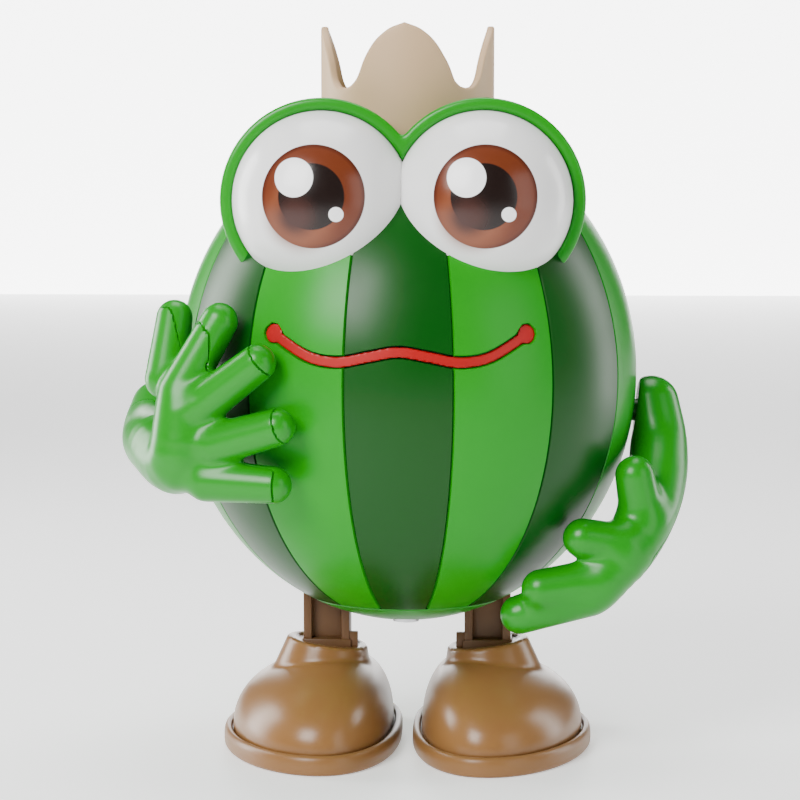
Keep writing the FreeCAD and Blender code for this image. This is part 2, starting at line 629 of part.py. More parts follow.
def first_pinion():
    half = FACE_HALF + 0.25
    pinion = gear(FIRST_PINION_TEETH, MODULE_FACE, -FACE_PITCH_R - half, 2 * half, ARBOR_R, **PINION_TOOTH)
    return at(pinion, 0, KEY_Z, -90)


def first_wheel():
    return at(gear(FIRST_WHEEL_TEETH, MODULE_FLAT, FIRST_WHEEL_X, WHEEL_WEB, ARBOR_R, **FLAT_TOOTH), 0, KEY_Z)


def crankshaft():
    length = CRANK_X + CRANK_THICK
    return rod((-length, 0, CRANK_Z), X, 2 * length, CRANKSHAFT_R)


def crank_pinion():
    pinion = gear(CRANK_PINION_TEETH, MODULE_FLAT, FIRST_WHEEL_X - 0.2, WHEEL_WEB + 0.4, CRANKSHAFT_R,
                  **PINION_TOOTH)
    return at(pinion, 0, CRANK_Z, 180.0 / CRANK_PINION_TEETH)


def crank_wheel():
    wheel = gear(CRANK_WHEEL_TEETH, MODULE_FLAT, CRANK_WHEEL_X, WHEEL_WEB, CRANKSHAFT_R, **FLAT_TOOTH)
    return at(wheel, 0, CRANK_Z, FAN_ANGLE - 90.0)


def fan_pinion():
    half_tooth = 180.0 / FAN_PINION_TEETH
    pinion = gear(FAN_PINION_TEETH, MODULE_FLAT, CRANK_WHEEL_X - 0.1, WHEEL_WEB + 0.2, ARBOR_R,
                  **PINION_TOOTH)
    return at(pinion, *fan_place(), FAN_ANGLE + 90.0 + half_tooth)


def fan_arbor():
    length = PLATE_X + PLATE + 0.4
    y, z = fan_place()
    return rod((-length, y, z), X, 2 * length, ARBOR_R)


def fan():
    y, z = fan_place()
    hub = rod((-5.0, y, z), X, 10.0, ARBOR_R + 0.8)
    blades = [box(-5.0, 5.0, y - FAN_R, y + FAN_R, z - 0.3, z + 0.3),
              box(-5.0, 5.0, y - 0.3, y + 0.3, z - FAN_R, z + FAN_R)]
    return fuse(hub, *blades).cut(rod((-20, y, z), X, 40, ARBOR_R))


# ---- cranks and legs ---------------------------------------------------------------------------------------


def crank(side):
    start = side * CRANK_X
    disc = rod((start, 0, CRANK_Z), X * side, CRANK_THICK, CRANKSHAFT_R + THROW + 0.6)
    reach = LEG_BAR[1] + SIDE_PLAY + 1.2
    pin = rod((start, 0, PIN_Z), X * side, reach - CRANK_X, CRANK_PIN_R)
    groove = ring((side * (LEG_BAR[1] + SIDE_PLAY), 0, PIN_Z), X * side, 0.6, CRANK_PIN_R + 1, CRANK_PIN_R - 0.3)
    return fuse(disc, pin).cut(groove).cut(rod((start - side, 0, CRANK_Z), X * side, 4, CRANKSHAFT_R))


def crank_clips():
    return Part.makeCompound([ring((side * (LEG_BAR[1] + SIDE_PLAY), 0, PIN_Z), X * side, 0.55,
                                   CRANK_PIN_R + 1.0, CRANK_PIN_R - 0.3) for side in (-1, 1)])


def leg_strut(side):
    """The left leg is drawn and the right one is its mirror image."""
    inner, outer = LEG_X - LEG_HALF, LEG_X + LEG_HALF
    foot_top = CAP_SEAM_Z + 4.0
    web = box(inner, outer, -LEG_DEPTH, LEG_DEPTH, LEG_FOOT_Z, foot_top)
    foot = COLLAR_TOP + LEG_RAIL
    for front in (-1, 1):
        near, far = sorted((front * LEG_WEB, front * (LEG_DEPTH + 1)))
        web = web.cut(box(inner + LEG_RIB, outer - LEG_RIB, near, far, foot, foot_top - LEG_RAIL))
    bar = box(LEG_BAR[0], LEG_BAR[1], -LEG_DEPTH + 0.4, LEG_DEPTH - 0.4, foot_top - 1.0, PIN_Z)
    eye = rod((LEG_BAR[0], 0, PIN_Z), X, LEG_BAR[1] - LEG_BAR[0], CRANK_PIN_R + 1.4)
    tab = box(inner - TAB, inner + 0.5, -LEG_DEPTH + 0.2, -LEG_DEPTH + TAB,
              COLLAR_TOP - 1.0, COLLAR_TOP + TAB_UP)
    top = fuse(bar, eye).cut(rod((0, 0, PIN_Z), X, 40, CRANK_PIN_R + RUNNING))
    strut = fuse(fuse(web, tab), top)
    return strut if side > 0 else mirror_x(strut)


def sole_outline(inset, z, share=1.0):
    """Rounded outline, straighter on the inner side.  share shrinks it towards the dome's apex."""
    points = []
    centre = SHOE_X * share + APEX_X * (1 - share)
    for step in range(48):
        angle = 2 * math.pi * (step + 0.5) / 48
        c, s = math.cos(angle), math.sin(angle)
        power = SOLE_POWERS[(0 if s > 0 else 2) + (0 if c < 0 else 1)]
        across = (SOLE_OUT if c > 0 else SOLE_IN) - inset
        along = (HEEL_REACH if s > 0 else TOE_REACH) - inset
        radius = share * ((abs(c) / across) ** power + (abs(s) / along) ** power) ** (-1 / power)
        points.append(Vector(centre + radius * c, radius * s, z))
    curve = Part.BSplineCurve()
    curve.interpolate(points, PeriodicFlag=True)
    return Part.Wire([curve.toShape()])


def sole(side):
    edge = 0.6
    levels = ((edge, 0.0), (0.0, edge), (0.0, SOLE_THICK - edge), (edge, SOLE_THICK))
    shape = Part.makeLoft([sole_outline(inset, z) for inset, z in levels], True, True)
    for y in SOLE_SCREWS[1]:
        shape = shape.cut(rod((SOLE_SCREWS[0], y, -1), Z, 10, SCREW_R + 0.1))
        shape = shape.cut(rod((SOLE_SCREWS[0], y, -1), Z, 1 + SCREW_HEAD + 0.3, SCREW_HEAD_R + 0.3))
    return shape if side > 0 else mirror_x(shape)


def dome(inset):
    """The shoe's upper: a rounded dome that meets the sole inside its rim."""
    high = UPPER_HIGH - SOLE_THICK - inset
    sections = []
    for lift in (0.0, 0.2, 0.4, 0.58, 0.74, 0.86, 0.95):
        share = (1 - lift ** UPPER_POWER) ** (1 / UPPER_POWER)
        sections.append(sole_outline(UPPER_INSET + inset, SOLE_THICK + lift * high, share))
    return Part.makeLoft(sections, True, False)


def tilted(shape):
    """Lean a collar piece so that its rim is higher on the outer side."""
    shape.rotate(Vector(LEG_X, 0, COLLAR_TOP), Y, -COLLAR_TILT)
    return shape


def shoe_upper(side):
    deep = 7.0
    flare = 1.9
    low = Vector(LEG_X, 0, COLLAR_TOP - deep)
    collar = tilted(Part.makeCone(COLLAR_R + flare, COLLAR_R, deep, low, Z))
    well = tilted(Part.makeCone(COLLAR_R + flare - COLLAR_WALL, COLLAR_R - COLLAR_WALL, deep + 0.2, low, Z))
    well_floor = COLLAR_TOP - 5.0
    well = well.common(box(-60, 60, -60, 60, well_floor, 60))
    leg_block = box(LEG_X - LEG_HALF - 1.2, LEG_X + LEG_HALF + 1.2, -LEG_DEPTH - 1.2, LEG_DEPTH + 1.2,
                    SOLE_THICK, well_floor)
    posts = [rod((SOLE_SCREWS[0], y, SOLE_THICK), Z, 5.0, BOSS_R - 0.4) for y in SOLE_SCREWS[1]]
    whole = dome(0.0)
    shape = whole.fuse(collar.cut(whole)).cut(dome(UPPER_WALL))
    inside = dome(0.3)
    shape = fuse(shape, leg_block, *[post.common(inside) for post in posts])
    shape = shape.cut(well.cut(leg_block)).cut(leg_strut(1))
    shape = shape.cut(box(LEG_X - LEG_HALF, LEG_X + LEG_HALF, -LEG_DEPTH, LEG_DEPTH, LEG_FOOT_Z, 60))
    shape = shape.cut(box(LEG_X - LEG_HALF - TAB - 0.1, LEG_X, -LEG_DEPTH - 0.1, -LEG_DEPTH + TAB + 0.1,
                          COLLAR_TOP - 1.1, 60))
    for y in SOLE_SCREWS[1]:
        shape = shape.cut(rod((SOLE_SCREWS[0], y, 0), Z, SOLE_THICK + 4.4, SCREW_R))
    return shape if side > 0 else mirror_x(shape)


def sole_screws(side):
    top = SOLE_THICK + 4.0
    low = SCREW_HEAD + 0.3
    pieces = Part.makeCompound([screw((SOLE_SCREWS[0], y, top), -Z, top - low) for y in SOLE_SCREWS[1]])
    return pieces if side > 0 else mirror_x(pieces)


def winding_key():
    hub = rod((0, KEY_START, KEY_Z), Y, KEY_END - KEY_START, KEY_HUB_R)
    ears = []
    for side in (-1, 1):
        ear = ring((side * KEY_EAR_X, 0, KEY_Z), Y, KEY_THICK, KEY_EAR_R, KEY_EAR_R - 2.4)
        ears.append(ear)
    grip = fuse(*ears, box(-KEY_EAR_X, KEY_EAR_X, 0, KEY_THICK, KEY_Z - 1.6, KEY_Z + 1.6))
    for side in (-1, 1):
        grip = grip.cut(rod((side * KEY_EAR_X, -1, KEY_Z), Y, 10, KEY_EAR_R - 2.4))
    grip.translate(Vector(0, KEY_END - KEY_THICK, 0))
    key = fuse(hub, grip)
    return key.cut(rod((0, KEY_START - 1, KEY_Z), Y, 7.0, KEY_ARBOR_R))


# ---- the whole toy -----------------------------------------------------------------------------------------
def build():
    os.makedirs("parts", exist_ok=True)
    export("body_front_shell", body_shell(True))
    export("body_rear_shell", body_shell(False))
    export("base_cap", base_cap())
    export("body_screws", body_screws())
    export("base_screws", base_screws())
    export("eye_hood", eye_hood())
    export("mouth_insert", mouth_solid(MOUTH_SINK, MOUTH_GROOVE))
    export("crown", crown())
    for name, side in (("left", 1), ("right", -1)):
        whole, block = arm(side), front_side(side)
        export(name + "_eyeball", eyeball(side))
        export(name + "_arm_front_half", whole.common(block))
        export(name + "_arm_back_half", whole.cut(block))
        export(name + "_shoulder_pin", shoulder_pin(side))
        export(name + "_shoulder_retainer", shoulder_retainer(side))
        export(name + "_motor_plate", side_plate(side))
        export(name + "_crank", crank(side))
        export(name + "_leg_strut", leg_strut(side))
        export(name + "_shoe_upper", shoe_upper(side))
        export(name + "_shoe_sole", sole(side))
        export(name + "_shoe_screws", sole_screws(side))
    export("motor_floor_plate", motor_floor())
    export("motor_pillars", motor_pillars())
    export("motor_nuts", motor_nuts())
    export("key_bridge", key_bridge())
    export("motor_rear_plate", rear_plate())
    export("mainspring", mainspring())
    export("spring_post", spring_post())
    export("crown_wheel", crown_wheel())
    export("click", click())
    export("click_pin", click_pin())
    export("click_spring", click_spring())
    export("ratchet_wheel", ratchet_wheel())
    export("key_arbor", key_arbor())
    export("arbor_clip", arbor_clip())
    export("winding_key", winding_key())
    export("first_arbor", first_arbor())
    export("first_pinion", first_pinion())
    export("first_wheel", first_wheel())
    export("crankshaft", crankshaft())
    export("crank_pinion", crank_pinion())
    export("crank_wheel", crank_wheel())
    export("crank_clips", crank_clips())
    export("fan_arbor", fan_arbor())
    export("fan_pinion", fan_pinion())
    export("fan", fan())


build()
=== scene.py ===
import math

import bmesh
import bpy
import numpy as np
from mathutils import Matrix, Vector


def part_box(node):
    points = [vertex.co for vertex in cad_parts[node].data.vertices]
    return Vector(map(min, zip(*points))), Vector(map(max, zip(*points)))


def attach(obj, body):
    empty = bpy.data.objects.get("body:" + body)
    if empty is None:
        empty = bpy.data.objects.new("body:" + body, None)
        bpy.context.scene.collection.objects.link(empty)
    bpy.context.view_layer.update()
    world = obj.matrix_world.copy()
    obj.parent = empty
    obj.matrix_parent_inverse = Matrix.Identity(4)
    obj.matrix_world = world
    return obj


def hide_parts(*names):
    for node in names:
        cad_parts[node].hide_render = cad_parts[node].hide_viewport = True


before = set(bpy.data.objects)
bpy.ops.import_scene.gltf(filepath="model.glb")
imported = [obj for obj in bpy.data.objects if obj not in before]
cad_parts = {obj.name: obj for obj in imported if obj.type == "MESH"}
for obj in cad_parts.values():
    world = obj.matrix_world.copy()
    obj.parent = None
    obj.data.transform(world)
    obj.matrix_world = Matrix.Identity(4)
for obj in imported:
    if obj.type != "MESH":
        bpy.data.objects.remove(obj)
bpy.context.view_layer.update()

# A glossy moulded wind-up frog.  Lengths below are millimetres measured from the body's upright axis;
# to_frame() turns them into metres in the CAD frame.
MM = 0.001
AXIS = sum(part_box("crown"), Vector()) / 2                 # the crown stands round the body's axis
AXIS_X, AXIS_Y = AXIS.x / MM, AXIS.y / MM


def size_of(node):
    low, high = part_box(node)
    return (high - low) / MM


def low_of(node):
    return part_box(node)[0] / MM - Vector((AXIS_X, AXIS_Y, 0))


def high_of(node):
    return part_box(node)[1] / MM - Vector((AXIS_X, AXIS_Y, 0))


EGG_R = size_of("body_rear_shell").x / 2                  # half-width of the egg
EGG_H = 36.04                                             # half-height
EGG_Z = 54.1                                              # height of its middle
SEAM_Z = low_of("body_rear_shell").z                      # where the base cap begins
CAP_Z = low_of("base_cap").z                              # the cap's flat underside
WALL = 1.8
LEG_X = 11.7                                              # middle of each leg and shoe collar
STRIPES = 14
STRIPE_TURN = 2 * math.pi / STRIPES
LINE_WIDE, LINE_DEEP = 0.2, 0.38                         # half-width and depth of an engraved line


def to_frame(points):
    """Millimetres about the body's axis to metres in the frame."""
    return (np.asarray(points, float) + [AXIS_X, AXIS_Y, 0.0]) * MM


# ---- meshes -----------------------------------------------------------------------------------------
def finish_mesh(name, bm, material, crease=38.0):
    """Write a bmesh as an object, smooth, with sharp edges where faces meet steeply."""
    bmesh.ops.recalc_face_normals(bm, faces=bm.faces)
    limit = math.radians(crease)
    for edge in bm.edges:
        edge.smooth = not (len(edge.link_faces) == 2 and edge.calc_face_angle(0.0) > limit)
    for face in bm.faces:
        face.smooth = True
    mesh = bpy.data.meshes.new(name)
    bm.to_mesh(mesh)
    bm.free()
    piece = bpy.data.objects.new(name, mesh)
    bpy.context.scene.collection.objects.link(piece)
    mesh.materials.clear()
    mesh.materials.append(material)
    return piece


def mesh_of(points, faces):
    bm = bmesh.new()
    corners = [bm.verts.new(point) for point in to_frame(points)]
    for face in faces:
        bm.faces.new([corners[i] for i in face])
    return bm


def dress(piece, body, slot, *nodes):
    """Hang a finished piece on its body, and let it stand for CAD nodes."""
    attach(piece, body)
    if nodes:
        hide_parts(*nodes)
    return piece


def egg_field(points, grow=0.0):
    """Signed distance, nearly, to the egg."""
    scaled = (points - [0, 0, EGG_Z]) / [EGG_R + grow, EGG_R + grow, EGG_H + grow]
    length = np.linalg.norm(scaled, axis=-1)
    return (length - 1.0) * (EGG_R + grow)


def blend_min(a, b, soft):
    """Union of two fields with a fillet."""
    h = np.clip(0.5 + 0.5 * (b - a) / soft, 0, 1)
    return b + (a - b) * h - soft * h * (1 - h)


def blend_max(a, b, soft):
    return -blend_min(-a, -b, soft)


def limb_field(points, start, end, r_start, r_end):
    """A tapering round limb."""
    start, end = np.array(start, float), np.array(end, float)
    along = end - start
    share = np.clip(((points - start) @ along) / (along @ along), 0, 1)
    away = np.linalg.norm(points - start - share[..., None] * along, axis=-1)
    return away - r_start - (r_end - r_start) * share


def skin(field, low, high, step):
    """Wrap a closed quad mesh round the zero level of a field, then settle it exactly on that level."""
    axes = [np.arange(a, b + step, step) for a, b in zip(low, high)]
    grid = np.stack(np.meshgrid(*axes, indexing="ij"), -1)
    inside = field(grid) < 0
    shape = np.array(inside.shape) - 1
    count = np.zeros(shape, int)
    for corner in np.ndindex(2, 2, 2):
        count += inside[tuple(slice(c, c + n) for c, n in zip(corner, shape))]
    mixed = (count > 0) & (count < 8)
    number = -np.ones(shape, int)
    number[mixed] = np.arange(mixed.sum())
    points = np.argwhere(mixed) * step + np.array(low) + step / 2
    faces = []
    for axis in range(3):
        near = tuple(slice(1, -1) if k != axis else slice(0, -1) for k in range(3))
        far = tuple(slice(1, -1) if k != axis else slice(1, None) for k in range(3))
        cross = np.argwhere(inside[near] != inside[far])
        outward = inside[near][tuple(cross.T)]
        u, v = [k for k in range(3) if k != axis]
        ring = []
        for du, dv in ((0, 0), (1, 0), (1, 1), (0, 1)):
            cell = cross.copy()
            cell[:, u] += du
            cell[:, v] += dv
            ring.append(number[tuple(cell.T)])
        quads = np.stack(ring, -1)
        flip = outward == (axis == 1)
        quads[flip] = quads[flip][:, ::-1]
        faces.append(quads)
    faces = np.concatenate(faces)
    pairs = np.concatenate([faces[:, [0, 1]], faces[:, [1, 2]], faces[:, [2, 3]], faces[:, [3, 0]]])
    for round_ in range(3):
        total = np.zeros_like(points)
        weight = np.zeros(len(points))
        np.add.at(total, pairs[:, 0], points[pairs[:, 1]])
        np.add.at(weight, pairs[:, 0], 1)
        np.add.at(total, pairs[:, 1], points[pairs[:, 0]])
        np.add.at(weight, pairs[:, 1], 1)
        points = settle(field, 0.4 * points + 0.6 * total / weight[:, None], 2)
    return settle(field, points, 3), faces


def slope(field, points, reach=0.02):
    steps = [(field(points + reach * e) - field(points - reach * e)) / (2 * reach) for e in np.eye(3)]
    return np.stack(steps, -1)


def settle(field, points, rounds):
    for round_ in range(rounds):
        away = slope(field, points)
        square = np.maximum((away ** 2).sum(-1), 0.05)
        points = points - np.clip(field(points) / square, -0.4, 0.4)[:, None] * away
    return points


def split_along(bm, layer, level):
    """Cut the mesh along the line where a vertex value equals a level."""
    fresh = set()
    for edge in list(bm.edges):
        a, b = edge.verts
        va, vb = a[layer] - level, b[layer] - level
        if va * vb < 0 and min(abs(va), abs(vb)) > 1e-7:
            vert = bmesh.utils.edge_split(edge, a, va / (va - vb))[1]
            vert[layer] = level
            fresh.add(vert)
    for face in {face for vert in fresh for face in vert.link_faces}:
        ends = [vert for vert in face.verts if vert in fresh]
        if len(ends) == 2:
            try:
                bmesh.utils.face_split(face, ends[0], ends[1])
            except ValueError:
                pass
    return fresh


def engrave(bm, value, half_width, depth):
    """Sink a V-shaped line where value(points) is zero.  value is in millimetres."""
    layer = bm.verts.layers.float.new("line")
    bm.verts.ensure_lookup_table()
    points = np.array([vert.co for vert in bm.verts]) / MM - [AXIS_X, AXIS_Y, 0]
    for vert, number in zip(bm.verts, value(points)):
        vert[layer] = number
    for level in (-half_width, half_width):
        split_along(bm, layer, level)
    bottom = split_along(bm, layer, 0.0)
    bm.normal_update()
    moves = [(vert, vert.normal.copy()) for vert in bottom]
    for vert, normal in moves:
        vert.co -= normal * depth * MM
    bm.verts.layers.float.remove(layer)


# ---- materials --------------------------------------------------------------------------------------
def node_group(name, sockets):
    tree = bpy.data.node_groups.new(name, "ShaderNodeTree")
    for kind, label, in_out, value in sockets:
        made = tree.interface.new_socket(name=label, in_out=in_out, socket_type=kind)
        if value is not None:
            made.default_value = value
    return tree, tree.nodes.new("NodeGroupInput"), tree.nodes.new("NodeGroupOutput")


def add(tree, kind, settings=None, **inputs):
    """A node with its properties and input values or links.  _2=value sets the input numbered 2."""
    node = tree.nodes.new(kind)
    for key, value in (settings or {}).items():
        setattr(node, key, value)
    for key, value in inputs.items():
        numbered = key[0] == "_" and key[1:].isdigit()
        socket = node.inputs[int(key[1:]) if numbered else key.replace("_", " ")]
        if isinstance(value, bpy.types.NodeSocket):
            tree.links.new(value, socket)
        else:
            socket.default_value = value
    return node


def sums(tree, operation, *values):
    return add(tree, "ShaderNodeMath", {"operation": operation},
               **{"_%d" % i: value for i, value in enumerate(values)}).outputs[0]


def moulded_group():
    """Moulded plastic: slow colour drift, fine grain in the gloss and a faint flow in the surface."""
    tree, inp, out = node_group("moulded_plastic", [
        ("NodeSocketColor", "Color", "INPUT", None), ("NodeSocketFloat", "Drift", "INPUT", 0.06),
        ("NodeSocketFloat", "Roughness", "INPUT", 0.2), ("NodeSocketFloat", "Grain", "INPUT", 0.04),
        ("NodeSocketColor", "Color", "OUTPUT", None), ("NodeSocketFloat", "Roughness", "OUTPUT", None),
        ("NodeSocketFloat", "Height", "OUTPUT", None)])
    place = add(tree, "ShaderNodeTexCoord").outputs["Object"]
    slow = add(tree, "ShaderNodeTexNoise", Vector=place, Scale=60.0, Detail=2.0).outputs["Fac"]
    fine = add(tree, "ShaderNodeTexNoise", Vector=place, Scale=2600.0, Detail=2.0).outputs["Fac"]
    handled = add(tree, "ShaderNodeTexNoise", Vector=place, Scale=170.0, Detail=4.0).outputs["Fac"]
    drift = sums(tree, "MULTIPLY", sums(tree, "SUBTRACT", slow, 0.5), inp.outputs["Drift"])
    value = sums(tree, "ADD", 1.0, drift)
    color = add(tree, "ShaderNodeHueSaturation", Color=inp.outputs["Color"], Value=value)
    rough = sums(tree, "MULTIPLY", sums(tree, "SUBTRACT", handled, 0.5), 0.09)
    grain = sums(tree, "MULTIPLY", sums(tree, "SUBTRACT", fine, 0.5), inp.outputs["Grain"])
    total = sums(tree, "ADD", sums(tree, "ADD", inp.outputs["Roughness"], rough), grain)
    height = sums(tree, "ADD", sums(tree, "MULTIPLY", fine, 0.3), sums(tree, "MULTIPLY", slow, 0.7))
    for label, value in (("Color", color.outputs[0]), ("Roughness", total), ("Height", height)):
        tree.links.new(value, out.inputs[label])
    return tree


MOULDED = moulded_group()


def material(name, color, rough=0.2, drift=0.06, grain=0.04, bump=0.02, specular=0.5, paint=None, metal=0.0):
    """A moulded finish.  paint(tree, place) may return a colour socket in place of the plain colour."""
    made = bpy.data.materials.new(name)
    made.use_nodes = True
    tree = made.node_tree
    shader = tree.nodes["Principled BSDF"]
    group = add(tree, "ShaderNodeGroup", {"node_tree": MOULDED})
    group.inputs["Drift"].default_value = drift
    group.inputs["Roughness"].default_value = rough
    group.inputs["Grain"].default_value = grain
    if paint:
        place = add(tree, "ShaderNodeTexCoord").outputs["Object"]
        tree.links.new(paint(tree, place), group.inputs["Color"])
    else:
        group.inputs["Color"].default_value = (*color, 1)
    tree.links.new(group.outputs["Color"], shader.inputs["Base Color"])
    tree.links.new(group.outputs["Roughness"], shader.inputs["Roughness"])
    relief = add(tree, "ShaderNodeBump", Strength=bump, Distance=0.0004, Height=group.outputs["Height"])
    tree.links.new(relief.outputs[0], shader.inputs["Normal"])
    shader.inputs["Specular IOR Level"].default_value = specular
    shader.inputs["Metallic"].default_value = metal
    made.diffuse_color = (*color, 1)
    return made


def about_axis(tree, place, x=0.0, y=0.0, z=0.0):
    """Object coordinates in millimetres about a point given from the body's axis."""
    move = add(tree, "ShaderNodeMapping", {"vector_type": "POINT"}, Vector=place)
    move.inputs["Location"].default_value = (-(AXIS_X + x), -(AXIS_Y + y), -z)
    move.inputs["Scale"].default_value = (1 / MM, 1 / MM, 1 / MM)
    return add(tree, "ShaderNodeSeparateXYZ", Vector=move.outputs[0]).outputs


def stripes(tree, place):
    """Fourteen gores of two greens, with a dark one on the front."""
    x, y, z = about_axis(tree, place)
    angle = sums(tree, "ARCTAN2", x, sums(tree, "MULTIPLY", y, -1.0))
    turn = sums(tree, "ADD", sums(tree, "DIVIDE", angle, 2 * STRIPE_TURN), 0.25 + 4.0)
    share = sums(tree, "FRACT", turn)
    dark = sums(tree, "LESS_THAN", share, 0.5)
    body = add(tree, "ShaderNodeMix", {"data_type": "RGBA"}, Factor=dark, _6=LIGHT_GREEN, _7=DARK_GREEN)
    return body.outputs[2]


LIGHT_GREEN = (0.002, 0.245, 0.004, 1)
DARK_GREEN = (0.001, 0.058, 0.002, 1)

GREEN_STRIPES = material("striped_green", (0.004, 0.235, 0.006), rough=0.32, specular=0.24, paint=stripes)
GREEN_CAP = material("cap_green", (0.008, 0.26, 0.008), rough=0.36, specular=0.3)
HOOD_GREEN = material("hood_green", (0.002, 0.235, 0.004), rough=0.30, specular=0.32)
ARM_GREEN = material("arm_green", (0.002, 0.225, 0.004), rough=0.30, specular=0.34)
MOUTH_RED = material("mouth_red", (0.36, 0.001, 0.002), rough=0.42, specular=0.3)
CROWN_BEIGE = material("crown_beige", (0.52, 0.35, 0.20), rough=0.5, bump=0.05, specular=0.35)
SHOE_BROWN = material("shoe_brown", (0.23, 0.108, 0.034), rough=0.3, specular=0.4)
SOLE_BROWN = material("sole_tan", (0.22, 0.104, 0.034), rough=0.36, specular=0.35)
LEG_BROWN = material("leg_brown", (0.135, 0.062, 0.023), rough=0.42, bump=0.04, specular=0.3)
KEY_BROWN = material("key_brown", (0.107, 0.040, 0.012), rough=0.34, bump=0.03)
STEEL = material("bright_steel", (0.62, 0.62, 0.63), rough=0.28, metal=1.0)
PLATE_STEEL = material("plate_steel", (0.55, 0.55, 0.54), rough=0.36, metal=1.0)
BLUE_STEEL = material("blued_spring_steel", (0.09, 0.11, 0.17), rough=0.3, metal=1.0)
BRASS = material("stamped_brass", (0.78, 0.55, 0.22), rough=0.3, metal=1.0)
INNER_WHITE = material("inner_plastic", (0.7, 0.7, 0.66), rough=0.4)
GROOVE_DARK = material("groove_shadow", (0.006, 0.02, 0.006), rough=0.6)

EYE_X, EYE_Y, EYE_Z = 11.05, -19.0, 79.0
EYE_R, HOOD_WALL = 12.2, 1.75
HOOD_FRONT = -19.6
IRIS_X, IRIS_Z, IRIS_R, PUPIL_R = 11.4, 79.7, 6.87, 4.4


def disc(tree, x, z, at_x, at_z, radius, soft=0.06):
    """1 inside a circle of the front view, 0 outside."""
    dx, dz = sums(tree, "SUBTRACT", x, at_x), sums(tree, "SUBTRACT", z, at_z)
    square = sums(tree, "MULTIPLY_ADD", dx, dx, sums(tree, "MULTIPLY", dz, dz))
    away = sums(tree, "SQRT", square)
    fade = add(tree, "ShaderNodeMapRange", {"interpolation_type": "SMOOTHSTEP"}, Value=away)
    limits = {"From Min": radius - soft, "From Max": radius + soft, "To Min": 1.0, "To Max": 0.0}
    for label, value in limits.items():
        fade.inputs[label].default_value = value
    return fade.outputs[0]


def over(tree, below, above, mask):
    mix = add(tree, "ShaderNodeMix", {"data_type": "RGBA"}, _0=mask)
    for socket, value in ((mix.inputs[6], below), (mix.inputs[7], above)):
        if isinstance(value, bpy.types.NodeSocket):
            tree.links.new(value, socket)
        else:
            socket.default_value = value
    return mix.outputs[2]


def eye_print(side):
    """Printed iris, pupil and two highlights on a white ball."""
    def paint(tree, place):
        x, y, z = about_axis(tree, place, side * IRIS_X, 0.0, IRIS_Z)
        color = over(tree, (0.80, 0.80, 0.79, 1), (0.070, 0.013, 0.005, 1), disc(tree, x, z, 0, 0, IRIS_R))
        color = over(tree, color, (0.125, 0.027, 0.009, 1), disc(tree, x, z, 0, 0, IRIS_R - 0.35, 0.3))
        color = over(tree, color, (0.21, 0.062, 0.026, 1), disc(tree, x, z, -1.6, -2.4, 4.4, 1.6))
        color = over(tree, color, (0.010, 0.005, 0.004, 1), disc(tree, x, z, -0.2, 0.0, PUPIL_R, 0.1))
        color = over(tree, color, (0.040, 0.012, 0.008, 1), disc(tree, x, z, -2.3, -2.6, 2.4, 1.4))
        color = over(tree, color, (0.95, 0.95, 0.95, 1), disc(tree, x, z, -2.5, 2.5, 2.6))
        return over(tree, color, (0.95, 0.95, 0.95, 1), disc(tree, x, z, 3.1, -2.35, 0.98))
    return paint


EYE_WHITE = {side: material("eye_%s" % name, (0.8, 0.8, 0.79), rough=0.24, drift=0.01, specular=0.4,
                            paint=eye_print(side))
             for side, name in ((1, "left"), (-1, "right"))}


# ---- what repeats round the body's axis ---------------------------------------------------------------
def repeat_tree():
    """Geometry nodes that set copies of one sector round an axis and weld them."""
    tree = bpy.data.node_groups.new("repeat_round", "GeometryNodeTree")
    for kind, label in (("Geometry", "Sector"), ("Int", "Count"), ("Float", "Start"), ("Float", "Step"),
                        ("Vector", "Axis"), ("Float", "Weld"), ("Material", "Finish")):
        tree.interface.new_socket(name=label, in_out="INPUT", socket_type="NodeSocket" + kind)
    tree.interface.new_socket(name="Geometry", in_out="OUTPUT", socket_type="NodeSocketGeometry")
    given = tree.nodes.new("NodeGroupInput").outputs
    points = add(tree, "GeometryNodePoints", Count=given["Count"], Position=given["Axis"])
    index = add(tree, "GeometryNodeInputIndex").outputs[0]
    turn = sums(tree, "MULTIPLY_ADD", index, given["Step"], given["Start"])
    spin = add(tree, "ShaderNodeCombineXYZ", Z=turn)
    placed = add(tree, "GeometryNodeInstanceOnPoints", Points=points.outputs[0], Instance=given["Sector"],
                 Rotation=spin.outputs[0])
    real = add(tree, "GeometryNodeRealizeInstances", Geometry=placed.outputs[0])
    welded = add(tree, "GeometryNodeMergeByDistance", Geometry=real.outputs[0], Distance=given["Weld"])
    done = add(tree, "GeometryNodeSetMaterial", Geometry=welded.outputs[0], Material=given["Finish"])
    tree.links.new(done.outputs[0], tree.nodes.new("NodeGroupOutput").inputs[0])
    return tree


REPEAT_ROUND = repeat_tree()


